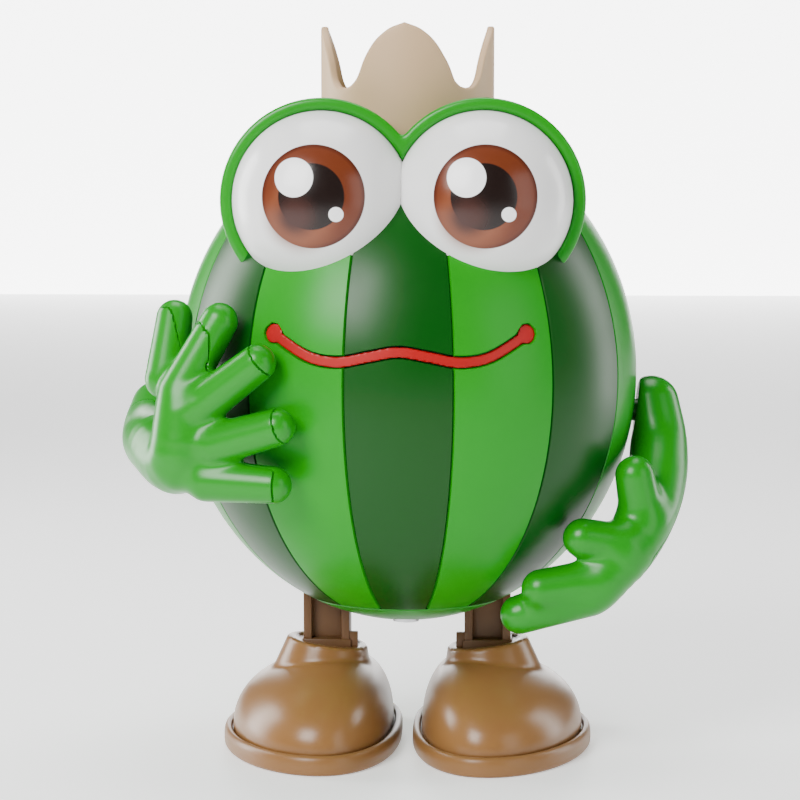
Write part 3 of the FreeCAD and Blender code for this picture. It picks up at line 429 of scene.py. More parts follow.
def repeated(points, faces, count, start, step, finish):
    """A sector drawn about its own axis in millimetres, copied round the body's axis, as a bmesh."""
    sector = bpy.data.meshes.new("sector")
    sector.from_pydata((np.asarray(points) * MM).tolist(), [], faces)
    holder = bpy.data.objects.new("sector", sector)
    bpy.context.scene.collection.objects.link(holder)
    change = holder.modifiers.new("repeat", "NODES")
    change.node_group = REPEAT_ROUND
    values = {"Count": count, "Start": start, "Step": step, "Axis": (AXIS_X * MM, AXIS_Y * MM, 0.0),
              "Weld": 0.002 * MM, "Finish": finish}
    for item in REPEAT_ROUND.interface.items_tree:
        if item.in_out == "INPUT" and item.name in values:
            change[item.identifier] = values[item.name]
    bpy.context.view_layer.update()
    done = bpy.data.meshes.new_from_object(holder.evaluated_get(bpy.context.evaluated_depsgraph_get()))
    holder.modifiers.remove(change)
    bm = bmesh.new()
    bm.from_mesh(done)
    bpy.data.meshes.remove(done)
    bpy.data.objects.remove(holder)
    bpy.data.meshes.remove(sector)
    return bm


# ---- striped shells -----------------------------------------------------------------------------------
def gore_columns():
    """(azimuth, side offset in mm, groove share) across one gore, with a groove's half at each side."""
    columns = [(0.0, 0.0, 1.0), (0.0, 1.0, 0.0)]
    columns += [(STRIPE_TURN * (i + 1) / 13, 0.0, 0.0) for i in range(12)]
    return columns + [(STRIPE_TURN, -1.0, 0.0), (STRIPE_TURN, 0.0, 1.0)]


def shell_rows():
    """Angles down from the top, closer together at the lower edge for the seam's chamfer."""
    last = math.acos((SEAM_Z - EGG_Z) / EGG_H)
    rows = [last * (i + 1) / 120 for i in range(119)]
    return rows + [last - LINE_WIDE / EGG_R, last]


def shell_mesh(front):
    """One gore with its wall, repeated seven times, then closed along the two side seams."""
    columns, rows = gore_columns(), shell_rows()
    points, faces = [], []
    for wall in (0.0, WALL):
        for row, down in enumerate(rows):
            radius, height = (EGG_R - wall) * math.sin(down), (EGG_H - wall) * math.cos(down)
            for azimuth, offset, groove in columns:
                reach = max(radius, 1.2)
                angle = azimuth + offset * LINE_WIDE / reach
                sink = 0.0
                if wall == 0.0:
                    fade = min(1.0, radius / 5.0)
                    sink = LINE_DEEP * max(groove * fade, 1.0 if row == len(rows) - 1 else 0.0)
                out = np.array([math.sin(down) / EGG_R, math.cos(down) / EGG_H])
                out /= np.linalg.norm(out)
                around = radius - sink * out[0]
                points.append((around * math.sin(angle), -around * math.cos(angle),
                               EGG_Z + height - sink * out[1]))
    wide, tall = len(columns), len(rows)
    inner = wide * tall
    for row in range(tall - 1):
        for column in range(wide - 1):
            a = row * wide + column
            quad = (a, a + 1, a + wide + 1, a + wide)
            faces += [quad, tuple(inner + i for i in reversed(quad))]
    for column in range(wide - 1):
        for row in (0, tall - 1):
            a = row * wide + column
            faces.append((a, a + 1, inner + a + 1, inner + a))
    first = -math.pi / 2 if front else math.pi / 2
    bm = repeated(points, faces, STRIPES // 2, first, STRIPE_TURN, GREEN_STRIPES)
    bmesh.ops.holes_fill(bm, edges=[edge for edge in bm.edges if edge.is_boundary], sides=0)
    return bm


MOUTH = ((0.0, 5.2), (7.0, 4.55), (14.0, 3.8), (21.0, 4.25), (27.5, 5.95), (31.9, 7.35))   # azimuth, height
MOUTH_HALF, MOUTH_END = 0.92, 1.5
MOUTH_SINK, MOUTH_DEEP = 0.32, 0.9
FAR = 9.0                                                 # stands for any distance well off the smile


def smooth_through(keys, count):
    """Points on a cubic curve through a few keys, evenly spread in the first number."""
    keys = np.array(keys, float)
    x, y = keys[:, 0], keys[:, 1]
    tangent = np.gradient(y, x)
    at = np.linspace(x[0], x[-1], count)
    i = np.clip(np.searchsorted(x, at, side="right") - 1, 0, len(x) - 2)
    h = x[i + 1] - x[i]
    t = (at - x[i]) / h
    value = ((2 * t ** 3 - 3 * t ** 2 + 1) * y[i] + (t ** 3 - 2 * t ** 2 + t) * h * tangent[i]
             + (3 * t ** 2 - 2 * t ** 3) * y[i + 1] + (t ** 3 - t ** 2) * h * tangent[i + 1])
    return np.stack([at, value], -1)


def mouth_curve():
    half = smooth_through([(-a, z) for a, z in MOUTH[:2]][::-1][:1] + list(MOUTH), 90)
    half = half[half[:, 0] >= 0]
    line = np.concatenate([half[::-1] * [-1, 1], half[1:]])
    azimuth, height = np.radians(line[:, 0]), line[:, 1]
    radius = EGG_R * np.sqrt(1 - (height / EGG_H) ** 2)
    return np.stack([radius * np.sin(azimuth), -radius * np.cos(azimuth), EGG_Z + height], -1)


SMILE = mouth_curve()


def smile_field(points, grow=0.0):
    """Distance outside the smile's outline, measured along the surface."""
    x, y, z = points.T
    near = (np.abs(x) < 22) & (y < -18) & (np.abs(z - SMILE[:, 2].mean()) < FAR)
    value = np.full(len(points), FAR)
    close = points[near]
    away = np.full(len(close), 99.0)
    for place in SMILE:
        away = np.minimum(away, np.linalg.norm(close - place, axis=1))
    ends = np.minimum(*[np.linalg.norm(close - SMILE[i], axis=1) for i in (0, -1)])
    value[near] = np.minimum(away - MOUTH_HALF, ends - MOUTH_END) - grow
    return value


def press_smile(bm):
    """Sink the floor of the smile's groove, with steep sides."""
    layer = bm.verts.layers.float.new("smile")
    points = np.array([vert.co for vert in bm.verts]) / MM - [AXIS_X, AXIS_Y, 0]
    on_skin = np.abs(egg_field(points)) < 0.5
    for vert, value, skin_point in zip(bm.verts, smile_field(points), on_skin):
        vert[layer] = value if skin_point else FAR
    for level in (0.12, 0.0, -0.08):
        split_along(bm, layer, level)
    bm.normal_update()
    for vert in bm.verts:
        if vert[layer] <= -0.079:
            out = Vector((vert.co.x - AXIS_X * MM, vert.co.y - AXIS_Y * MM, 0)).normalized()
            vert.co -= out * MOUTH_DEEP * MM
    bm.verts.layers.float.remove(layer)


def smile_insert():
    """The red strip, slightly crowned, lying below the green surface."""
    across, tall = np.arange(-20, 20.01, 0.2), np.arange(56.0, 64.5, 0.2)
    points, faces = [], []
    for z in tall:
        radius = (EGG_R - MOUTH_SINK) * math.sqrt(1 - ((z - EGG_Z) / EGG_H) ** 2)
        for x in across:
            points.append((x, -math.sqrt(radius ** 2 - x ** 2), z))
    wide = len(across)
    for row in range(len(tall) - 1):
        faces += [(row * wide + i, row * wide + i + 1, (row + 1) * wide + i + 1, (row + 1) * wide + i)
                  for i in range(wide - 1)]
    bm = mesh_of(points, faces)
    layer = bm.verts.layers.float.new("smile")
    places = np.array([vert.co for vert in bm.verts]) / MM - [AXIS_X, AXIS_Y, 0]
    for vert, value in zip(bm.verts, smile_field(places)):
        vert[layer] = value
    for level in (-0.16, -0.34):
        split_along(bm, layer, level)
    outside = [vert for vert in bm.verts if vert[layer] > -0.155]
    bmesh.ops.delete(bm, geom=outside, context="VERTS")
    for vert in bm.verts:
        if vert[layer] > -0.17:
            vert.co.y += 0.14 * MM
    rim = [edge for edge in bm.edges if edge.is_boundary]
    sides = bmesh.ops.extrude_edge_only(bm, edges=rim)["geom"]
    for vert in sides:
        if isinstance(vert, bmesh.types.BMVert):
            vert.co.y += 0.45 * MM
    bmesh.ops.holes_fill(bm, edges=[edge for edge in bm.edges if edge.is_boundary], sides=0)
    return finish_mesh("mouth_strip", bm, MOUTH_RED)


def cut_with(piece, cutter, operation="DIFFERENCE"):
    """Apply an exact Boolean, then remove the cutter."""
    change = piece.modifiers.new("cut", "BOOLEAN")
    change.operation, change.object, change.solver = operation, cutter, "EXACT"
    bpy.context.view_layer.update()
    done = bpy.data.meshes.new_from_object(piece.evaluated_get(bpy.context.evaluated_depsgraph_get()))
    piece.modifiers.clear()
    piece.data = done
    bpy.data.objects.remove(cutter)
    return piece


def block(low, high, soft=0.0, parts=2):
    """A box between two corners, with its edges rounded when soft is given."""
    bm = bmesh.new()
    made = bmesh.ops.create_cube(bm, size=1.0)["verts"]
    low, high = to_frame(low), to_frame(high)
    for vert in made:
        vert.co = Vector([low[i] if vert.co[i] < 0 else high[i] for i in range(3)])
    if soft:
        bmesh.ops.bevel(bm, geom=list(bm.edges), offset=soft * MM, segments=parts, profile=0.5,
                        affect="EDGES")
    return bm


def round_bar(start, end, radius, segments=64):
    """A plain round bar between two points, used as a cutter."""
    bm = bmesh.new()
    start, end = Vector(to_frame(start)), Vector(to_frame(end))
    bmesh.ops.create_cone(bm, cap_ends=True, segments=segments, radius1=radius * MM, radius2=radius * MM,
                          depth=(end - start).length)
    turn = (end - start).to_track_quat("Z", "Y").to_matrix().to_4x4()
    bmesh.ops.transform(bm, matrix=turn, verts=bm.verts)
    bmesh.ops.translate(bm, vec=(start + end) / 2, verts=bm.verts)
    return bm


# Openings.  Each hole is a little wider than what goes through it.
SHOULDER_Z = (low_of("left_shoulder_pin").z + high_of("left_shoulder_pin").z) / 2
SHOULDER_HOLE_R = 1.66
KEY_Z, KEY_HOLE_R = 56.0, 2.3
SCREW_PLACES, SCREW_HOLE_R = ((-22.0, 38.0), (22.0, 38.0), (0.0, 81.0)), 2.2
SLOT_REACH, SLOT_DEPTH = 3.85, 4.9                         # half-width and half-depth of a leg's slot


def leg_slot(side):
    """Where a leg passes through the underside."""
    middle = low_of("left_crank").x + 0.7
    low = (side * middle - SLOT_REACH, -SLOT_DEPTH, 10)
    high = (side * middle + SLOT_REACH, SLOT_DEPTH, SEAM_Z + 12)
    return finish_mesh("slot", block(low, high), GROOVE_DARK)


def build_shells():
    for name, front in (("front_shell", True), ("rear_shell", False)):
        bm = shell_mesh(front)
        if front:
            press_smile(bm)
        shell = finish_mesh(name, bm, GREEN_STRIPES)
        for side in (-1, 1):
            shell = cut_with(shell, leg_slot(side))
            bar = round_bar((side * 20, 0, SHOULDER_Z), (side * 50, 0, SHOULDER_Z), SHOULDER_HOLE_R)
            shell = cut_with(shell, finish_mesh("hole", bar, GREEN_STRIPES))
        if not front:
            bars = [round_bar((0, 20, KEY_Z), (0, 60, KEY_Z), KEY_HOLE_R)]
            bars += [round_bar((x, 5, z), (x, 60, z), SCREW_HOLE_R) for x, z in SCREW_PLACES]
            for bar in bars:
                shell = cut_with(shell, finish_mesh("hole", bar, GREEN_STRIPES))
        dress(shell, "body", "green_stripes", "body_" + name)
    dress(smile_insert(), "body", "red_mouth", "mouth_insert")


build_shells()


# ---- base cap -----------------------------------------------------------------------------------------
def turned(profile, steps=128):
    """Points (radius, height) turned once round the body's axis."""
    points, faces = [], []
    for step in range(steps):
        angle = 2 * math.pi * step / steps
        across, along = math.sin(angle), -math.cos(angle)
        points += [(radius * across, radius * along, height) for radius, height in profile]
    tall = len(profile)
    for step in range(steps):
        a, b = step * tall, (step + 1) % steps * tall
        faces += [(a + i, b + i, b + (i + 1) % tall, a + (i + 1) % tall) for i in range(tall)]
    bm = mesh_of(points, faces)
    bmesh.ops.remove_doubles(bm, verts=bm.verts, dist=1e-7)
    return bm


def egg_radius(z, wall=0.0):
    return (EGG_R - wall) * math.sqrt(max(0.0, 1 - ((z - EGG_Z) / (EGG_H - wall)) ** 2))


BASE_SCREW_Y, BASE_SCREW_HOLE_R, BASE_SCREW_DEEP = 5.6, 2.2, 1.3
NOTCH_X, NOTCH_FRONT, NOTCH_BACK = 6.65, -4.9, 0.9         # room for the ear on each leg


def build_cap():
    edge = 0.2
    outer = [(egg_radius(z), z) for z in np.linspace(SEAM_Z - edge, CAP_Z + edge, 14)]
    profile = [(egg_radius(SEAM_Z) - LINE_DEEP, SEAM_Z), *outer, (egg_radius(CAP_Z) - edge, CAP_Z),
               (0.0005, CAP_Z), (0.0005, CAP_Z + WALL), (9.6, CAP_Z + WALL), (9.6, SEAM_Z)]
    cap = finish_mesh("bottom_cap", turned(profile), GREEN_CAP)
    for side in (-1, 1):
        cap = cut_with(cap, leg_slot(side))
        left, right = sorted((side * NOTCH_X, side * LEG_X))
        notch = block((left, NOTCH_FRONT, 10), (right, NOTCH_BACK, SEAM_Z))
        cap = cut_with(cap, finish_mesh("notch", notch, GREEN_CAP))
        y = side * BASE_SCREW_Y
        bar = round_bar((0, y, 10), (0, y, CAP_Z + BASE_SCREW_DEEP), BASE_SCREW_HOLE_R)
        cap = cut_with(cap, finish_mesh("hole", bar, GREEN_CAP))
    dress(cap, "body", "green_cap", "base_cap")


build_cap()


# ---- eyes and hood --------------------------------------------------------------------------------------
def hood_field(points):
    left = np.linalg.norm(points - [EYE_X, EYE_Y, EYE_Z], axis=-1)
    right = np.linalg.norm(points - [-EYE_X, EYE_Y, EYE_Z], axis=-1)
    outer = blend_min(left, right, 1.0) - EYE_R - HOOD_WALL
    inner = EYE_R + 0.04 - np.minimum(left, right)
    body = blend_max(blend_max(outer, inner, 0.25), HOOD_FRONT - points[..., 1], 0.6)
    return np.maximum(body, -0.35 - egg_field(points))


def build_eyes():
    reach = EYE_R + HOOD_WALL + 0.8
    points, faces = skin(hood_field, (-EYE_X - reach, HOOD_FRONT - 0.8, EYE_Z - reach),
                         (EYE_X + reach, EYE_Y + reach, EYE_Z + reach), 0.34)
    dress(finish_mesh("eyelid_hood", mesh_of(points, faces), HOOD_GREEN), "body", "bright_green", "eye_hood")
    for side, name in ((1, "left"), (-1, "right")):
        bm = bmesh.new()
        bmesh.ops.create_uvsphere(bm, u_segments=128, v_segments=96, radius=EYE_R * MM)
        turn = Vector((0, -1, 0)).to_track_quat("Z", "Y").to_matrix().to_4x4()
        bmesh.ops.transform(bm, matrix=turn, verts=bm.verts)
        bmesh.ops.translate(bm, vec=Vector(to_frame((side * EYE_X, EYE_Y, EYE_Z))), verts=bm.verts)
        plane = Vector(to_frame((0, 0, 0)))
        cut = bmesh.ops.bisect_plane(bm, geom=bm.verts[:] + bm.edges[:] + bm.faces[:], plane_co=plane,
                                     plane_no=(-side, 0, 0), clear_outer=True)["geom_cut"]
        layer = bm.verts.layers.float.new("egg")
        places = np.array([vert.co for vert in bm.verts]) / MM - [AXIS_X, AXIS_Y, 0]
        for vert, value in zip(bm.verts, egg_field(places) + 0.3):
            vert[layer] = value
        split_along(bm, layer, 0.0)
        bmesh.ops.delete(bm, geom=[vert for vert in bm.verts if vert[layer] < -1e-6], context="VERTS")
        bmesh.ops.holes_fill(bm, edges=[edge for edge in bm.edges if edge.is_boundary], sides=0)
        dress(finish_mesh(name + "_eye", bm, EYE_WHITE[side]), "body", "eye_white", name + "_eyeball")


build_eyes()


# ---- crown --------------------------------------------------------------------------------------------
CROWN_R, CROWN_WALL = size_of("crown").x / 2, 1.1
CROWN_TOP, CROWN_VALLEY = high_of("crown").z, 94.5
POINT_SHAPE = ((0, 1.0), (12, 0.88), (22, 0.66), (28, 0.43), (32, 0.21), (38, 0.05), (45, 0.0))


def build_crown():
    shape = smooth_through(POINT_SHAPE, 451)
    lip = 0.36
    steps, points, faces = 90, [], []
    for step in range(steps + 1):
        angle = math.radians(step - 45)
        from_point = abs(step - 45)
        top = CROWN_VALLEY + (CROWN_TOP - CROWN_VALLEY) * np.interp(from_point, shape[:, 0], shape[:, 1])
        low = EGG_Z + EGG_H * math.sqrt(1 - (CROWN_R / EGG_R) ** 2) - 0.4
        outer = [(CROWN_R, low + (top - lip - low) * i / 16) for i in range(17)]
        bore = CROWN_R - CROWN_WALL
        inner = [(bore, low + 0.2 + (top - lip - low - 0.2) * i / 16) for i in range(16, -1, -1)]
        turn = [(CROWN_R - lip + lip * math.cos(a), top - lip + lip * math.sin(a)) for a in (0.5, 1.0, 1.4)]
        back = [(bore + lip - lip * math.cos(a), top - lip + lip * math.sin(a)) for a in (1.4, 1.0, 0.5)]
        profile = outer + turn + back + inner
        points += [(r * math.sin(angle), -r * math.cos(angle), z) for r, z in profile]
    tall = len(profile)
    for step in range(steps):
        a, b = step * tall, (step + 1) * tall
        faces += [(a + i, b + i, b + (i + 1) % tall, a + (i + 1) % tall) for i in range(tall)]
    ring = repeated(points, faces, 4, 0.0, math.pi / 2, CROWN_BEIGE)
    dress(finish_mesh("crown_ring", ring, CROWN_BEIGE), "body", "beige_crown", "crown")


build_crown()


# ---- arms ---------------------------------------------------------------------------------------------
ARM_GAP = 0.45
FINGER_R, LOW_FINGER_R, FINGER_ROOT = 2.5, 2.75, 0.4        # raised hand, hanging hand, thicker root
LEFT_LIMB = (((35.2, 0, 49.6), 4.0), ((36.1, -2.0, 44.4), 4.15), ((35.7, -6.5, 39.2), 4.2),
             ((33.8, -11.5, 34.2), 4.0), ((30.5, -15.0, 29.6), 3.9), ((27.4, -16.0, 25.9), 3.2))
LEFT_FINGERS = (((33.4, -13.0, 34.4), (32.2, -14.0, 40.8)), ((30.1, -15.6, 31.2), (24.9, -17.2, 32.4)),
                ((27.4, -16.4, 26.4), (19.2, -17.5, 25.3)), ((25.7, -15.8, 24.3), (16.3, -15.2, 21.3)))
RIGHT_LIMB = (((-36.2, 0, 48.6), 4.05), ((-36.2, -8.0, 46.2), 4.05), ((-33.8, -18.5, 45.2), 4.4),
              ((-29.6, -26.0, 44.6), 4.7), ((-29.0, -26.4, 50.4), 4.2))
RIGHT_FINGERS = (((-32.1, -22.5, 54.8), (-31.4, -18.5, 62.9)), ((-29.6, -26.3, 53.6), (-24.4, -25.6, 62.9)),
                 ((-26.1, -28.2, 52.1), (-18.8, -30.8, 57.7)), ((-24.6, -28.8, 46.6), (-16.1, -32.4, 49.3)),
                 ((-26.0, -28.0, 41.6), (-16.8, -30.4, 41.3)))
LEFT_PARTING = ((60, 0.0), (44.4, -2.0), (34.2, -11.5), (29.6, -15.8), (10, -15.8))       # height, depth
RIGHT_PARTING = ((-60, 0.0), (-36.2, -8.0), (-33.8, -18.5), (-26.5, -28.5), (-10, -34.5))  # across, depth


def flowing(limb):
    """A smooth run of points and radii through the limb's few joints."""
    keys = np.array([[*place, radius] for place, radius in limb])
    along = np.concatenate([[0], np.cumsum(np.linalg.norm(np.diff(keys[:, :3], axis=0), axis=1))])
    runs = [smooth_through(np.stack([along, keys[:, k]], -1), 22)[:, 1] for k in range(4)]
    return np.stack(runs, -1)


def arm_field(limb, fingers, finger_r):
    run = flowing(limb)

    def field(points):
        total = None
        for start, end in zip(run, run[1:]):
            part = limb_field(points, start[:3], end[:3], start[3], end[3])
            total = part if total is None else np.minimum(total, part)
        for start, end in fingers:
            total = blend_min(total, limb_field(points, start, end, finger_r + FINGER_ROOT, finger_r), 1.5)
        return blend_max(total, ARM_GAP - egg_field(points), 0.5)
    return field


def polyline_side(u, v, line):
    """Signed distance from a polyline given as (u, v) corners; positive to the left of its direction."""
    best = np.full(u.shape, 1e9)
    sign = np.zeros(u.shape)
    for (u0, v0), (u1, v1) in zip(line, line[1:]):
        du, dv = u1 - u0, v1 - v0
        share = np.clip(((u - u0) * du + (v - v0) * dv) / (du * du + dv * dv), 0, 1)
        away = np.hypot(u - u0 - share * du, v - v0 - share * dv)
        side = np.sign(du * (v - v0) - dv * (u - u0))
        closer = away < best
        best = np.where(closer, away, best)
        sign = np.where(closer, side, sign)
    return best * sign


def seam_value(fingers, finger_r, inner_side):
    """Positive on the half that faces the body: that half also caps every fingertip."""
    def value(points):
        total = inner_side(points)
        for start, end in fingers:
            start, end = np.array(start, float), np.array(end, float)
            along = (end - start) / np.linalg.norm(end - start)
            beyond = (points - end) @ along - 0.65
            near = 1.9 * finger_r - np.linalg.norm(points - end, axis=-1)
            total = blend_max(total, np.minimum(beyond, near), 0.8)
        return total
    return value


def right_inner(points):
    return polyline_side(points[:, 0], points[:, 1], RIGHT_PARTING) - 0.5


def left_inner(points):
    """The left arm's seam runs down its front and inner edge."""
    return polyline_side(points[:, 2], points[:, 1], LEFT_PARTING) - 0.2


def build_arm(name, limb, fingers, finger_r, inner_side):
    ends = np.array([p for p, r in limb] + [p for pair in fingers for p in pair])
    low, high = ends.min(0) - 6.0, ends.max(0) + 6.0
    points, faces = skin(arm_field(limb, fingers, finger_r), low, high, 0.38)
    bm = mesh_of(points, faces)
    bmesh.ops.recalc_face_normals(bm, faces=bm.faces)
    engrave(bm, seam_value(fingers, finger_r, inner_side), 0.18, 0.36)
    piece = finish_mesh(name + "_arm", bm, ARM_GREEN, 30.0)
    dress(piece, name + "_arm", "arm_green", name + "_arm_front_half", name + "_arm_back_half")


build_arm("left", LEFT_LIMB, LEFT_FINGERS, LOW_FINGER_R, left_inner)
build_arm("right", RIGHT_LIMB, RIGHT_FINGERS, FINGER_R, right_inner)


# ---- legs and shoes -----------------------------------------------------------------------------------
LEG_HALF, LEG_DEPTH = 3.35, 2.6
FOOT_Z, FOOT_TOP = 6.0, SEAM_Z + 4.0
SOLE_THICK, UPPER_INSET = 2.8, 1.35
DOME_TOP = 12.8
COLLAR_TOP, COLLAR_R = 14.6, 5.85
TIP_X = 11.7                                               # the toe's tip lies to the inner side
SOLE_REACH = {"in": 10.9, "out": 15.1, "front": 24.0, "back": 17.0}
SOLE_POWER = {("in", "front"): 2.25, ("out", "front"): 1.9, ("in", "back"): 3.0, ("out", "back"): 2.2}


def sole_radius(dx, dy, inset):
    """Distance from the sole's middle to its outline in a direction."""
    length = np.maximum(np.hypot(dx, dy), 1e-9)
    c, s = np.abs(dx) / length, np.abs(dy) / length
    radius = np.zeros_like(length)
    for side, front in SOLE_POWER:
        here = ((dx > 0) == (side == "out")) & ((dy < 0) == (front == "front"))
        power = SOLE_POWER[side, front]
        a, b = SOLE_REACH[side] - inset, SOLE_REACH[front] - inset
        radius = np.where(here, ((c / a) ** power + (s / b) ** power) ** (-1 / power), radius)
    return radius


def mirrored(points, side):
    points = np.array(points, float)
    points[..., 0] *= side
    return points


SOLE_SCREW_X, SOLE_SCREWS_Y, SOLE_SCREW_HOLE_R = 13.85, (-10.0, 11.0), 2.3


def build_sole(name, side):
    """The sole's outline swept up a profile of (inset, height), with a proud rounded rim."""
    steps = 240
    angles = np.arange(steps) * 2 * math.pi / steps + 0.001
    profile = [(2.6, 0.0), (0.5, 0.0), (0.2, 0.12), (0.04, 0.35), (0.0, 0.7), (0.0, 1.3), (0.02, 1.8),
               (0.1, 2.2), (0.24, 2.5), (0.45, 2.72), (0.7, 2.8), (0.92, 2.74), (1.08, 2.6), (1.16, 2.4),
               (1.2, 2.15), (1.6, 2.1), (2.6, 2.1)]
    points, faces = [], []
    for inset, z in profile:
        dx, dy = np.cos(angles), np.sin(angles)
        radius = sole_radius(dx, dy, inset)
        points += [(side * (TIP_X + r * x), r * y, z) for r, x, y in zip(radius, dx, dy)]
    tall = len(profile)
    for row in range(tall - 1):
        for i in range(steps):
            j = (i + 1) % steps
            faces.append((row * steps + i, row * steps + j, (row + 1) * steps + j, (row + 1) * steps + i))
    for row, z in ((0, 0.0), (tall - 1, 2.1)):
        hub = len(points)
        points.append((side * TIP_X, -3.0, z))
        faces += [(row * steps + i, row * steps + (i + 1) % steps, hub) for i in range(steps)]
    bm = mesh_of(points, faces)
    sole = finish_mesh(name + "_sole", bm, SOLE_BROWN)
    for y in SOLE_SCREWS_Y:
        x = side * SOLE_SCREW_X
        bar = round_bar((x, y, -1), (x, y, 1.6), SOLE_SCREW_HOLE_R)
        sole = cut_with(sole, finish_mesh("hole", bar, SOLE_BROWN))
    dress(sole, name + "_leg", "tan_sole", name + "_shoe_sole")


COLLAR_TILT = math.radians(8.0)


def shoe_field(points):
    """Dome on the sole's outline, with a tapered collar round the ankle and the leg's socket in it."""
    x, y, z = points[..., 0], points[..., 1], points[..., 2]
    apex = np.array([9.7, 0.0])
    high = (z - SOLE_THICK) / (DOME_TOP - SOLE_THICK)
    lift = np.clip(high, 0, 0.999)
    share = (1 - lift ** 2.1) ** (1 / 2.1)
    middle_x = TIP_X * share + apex[0] * (1 - share)
    dx, dy = x - middle_x, y - apex[1] * (1 - share)
    radius = np.hypot(dx, dy)
    reach = sole_radius(dx, dy, UPPER_INSET)
    dome = ((radius / reach) ** 2.1 + np.abs(high) ** 2.1) ** (1 / 2.1) - 1
    dome = dome * np.minimum(reach, 11.0) * 0.9
    dome = np.maximum(dome, 2.2 - z)
    cx, cz = x - LEG_X, z - COLLAR_TOP
    up = cz * math.cos(COLLAR_TILT) - cx * math.sin(COLLAR_TILT)
    out = cx * math.cos(COLLAR_TILT) + cz * math.sin(COLLAR_TILT)
    taper = 0.30
    cone = (np.hypot(out, y) - COLLAR_R + taper * up) / math.hypot(1, taper)
    collar = blend_max(blend_max(cone, up, 0.35), -up - 5.5, 0.1)
    dish = np.maximum(np.hypot(out, y) - COLLAR_R + 1.25, -0.35 - up)
    collar = blend_max(collar, -dish, 0.2)
    return blend_min(dome, collar, 0.5)


def build_upper(name, side):
    points, faces = skin(shoe_field, (-0.8, -24.5, 1.4), (27.6, 17.6, COLLAR_TOP + 2.6), 0.42)
    bm = mesh_of(mirrored(points, side), faces)
    upper = finish_mesh(name + "_upper", bm, SHOE_BROWN, 32.0)
    dress(upper, name + "_leg", "brown_shoe", name + "_shoe_upper")


def joined(name, parts, material, crease=38.0):
    """Several closed meshes as one object."""
    bm = bmesh.new()
    for part in parts:
        mesh = bpy.data.meshes.new("part")
        part.to_mesh(mesh)
        part.free()
        bm.from_mesh(mesh)
        bpy.data.meshes.remove(mesh)
    return finish_mesh(name, bm, material, crease)


LEG_RIB, LEG_WEB = 1.2, 1.0
EAR_OUT, EAR_UP = 1.2, 1.6                                 # the small ear above the collar
BAR_IN, BAR_OUT, BAR_TOP = 12.6, 14.8, 39.0                # the upper bar that hangs on the crank
CRANK_PIN_Z, CRANK_EYE_R, CRANK_BORE_R = 42.2, 2.6, 1.26


def build_leg(name, side):
    """A plate with a raised rib down each side, front and back, and an ear above the collar."""
    inner, outer = LEG_X - LEG_HALF, LEG_X + LEG_HALF

    def slab(x0, x1, y0, y1, z0, z1, soft=0.18):
        a, b = side * x0, side * x1
        return block((min(a, b), y0, z0), (max(a, b), y1, z1), soft)

    deep = LEG_DEPTH
    parts = [slab(inner, inner + LEG_RIB, -deep, deep, FOOT_Z, FOOT_TOP),
             slab(outer - LEG_RIB, outer, -deep, deep, FOOT_Z, FOOT_TOP),
             slab(inner + 0.4, outer - 0.4, -LEG_WEB, LEG_WEB, FOOT_Z + 0.2, FOOT_TOP - 0.2),
             slab(inner + 0.4, outer - 0.4, 0.02 - deep, deep - 0.02, FOOT_TOP - 1.5, FOOT_TOP - 0.01),
             slab(inner - 0.25, outer + 0.25, -deep - 0.2, deep + 0.2, FOOT_Z + 0.1, COLLAR_TOP + 0.6, 0.25),
             slab(inner - EAR_OUT, inner + 0.4, 0.2 - deep, 1.2 - deep, COLLAR_TOP - 1.0,
                  COLLAR_TOP + EAR_UP, 0.12),
             slab(BAR_IN, BAR_OUT, 0.4 - deep, deep - 0.4, FOOT_TOP - 1.0, BAR_TOP, 0.3)]
    strut = joined(name + "_strut", parts, LEG_BROWN, 30.0)
    ends = (side * BAR_IN, 0, CRANK_PIN_Z), (side * BAR_OUT, 0, CRANK_PIN_Z)
    eye = finish_mesh("eye", round_bar(*ends, CRANK_EYE_R), LEG_BROWN)
    ends = (side * (BAR_IN - 0.6), 0, CRANK_PIN_Z), (side * (BAR_OUT + 1.2), 0, CRANK_PIN_Z)
    eye = cut_with(eye, finish_mesh("hole", round_bar(*ends, CRANK_BORE_R), LEG_BROWN))
    dress(strut, name + "_leg", "brown_leg", name + "_leg_strut")
    dress(eye, name + "_leg", "brown_leg")


for leg_name, leg_side in (("left", 1), ("right", -1)):
    build_sole(leg_name, leg_side)
    build_upper(leg_name, leg_side)
    build_leg(leg_name, leg_side)


# ---- winding key --------------------------------------------------------------------------------------
KEY_LOW, KEY_HIGH = low_of("winding_key"), high_of("winding_key")


def key_field(points):
    """A butterfly key: a round hub and two looped ears."""
    y = points[..., 1] - KEY_HIGH.y
    ear_r = (KEY_HIGH.z - KEY_LOW.z) / 2
    ear_x = KEY_HIGH.x - ear_r
    flat = np.abs(y + 1.1) - 0.75
    plan = None
    for side in (-1, 1):
        away = np.hypot(points[..., 0] - side * ear_x, points[..., 2] - KEY_Z)
        loop = np.abs(away - ear_r + 1.2) - 0.85
        plan = loop if plan is None else blend_min(plan, loop, 0.8)
    bar = np.maximum(np.abs(points[..., 0]) - 4.2, np.abs(points[..., 2] - KEY_Z) - 1.3)
    plan = blend_min(plan, bar, 0.8)
    grip = np.hypot(np.maximum(plan, 0), np.maximum(flat, 0)) + np.minimum(np.maximum(plan, flat), 0) - 0.33
    around = np.hypot(points[..., 0], points[..., 2] - KEY_Z)
    hub = blend_max(around - 2.35, np.abs(points[..., 1] - (KEY_LOW.y + KEY_HIGH.y) / 2)
                    - (KEY_HIGH.y - KEY_LOW.y) / 2 + 0.2, 0.5)
    socket = np.maximum(around - 1.25, points[..., 1] - KEY_LOW.y - 5.0)
    return blend_max(blend_min(grip, hub, 1.0), -socket, 0.2)


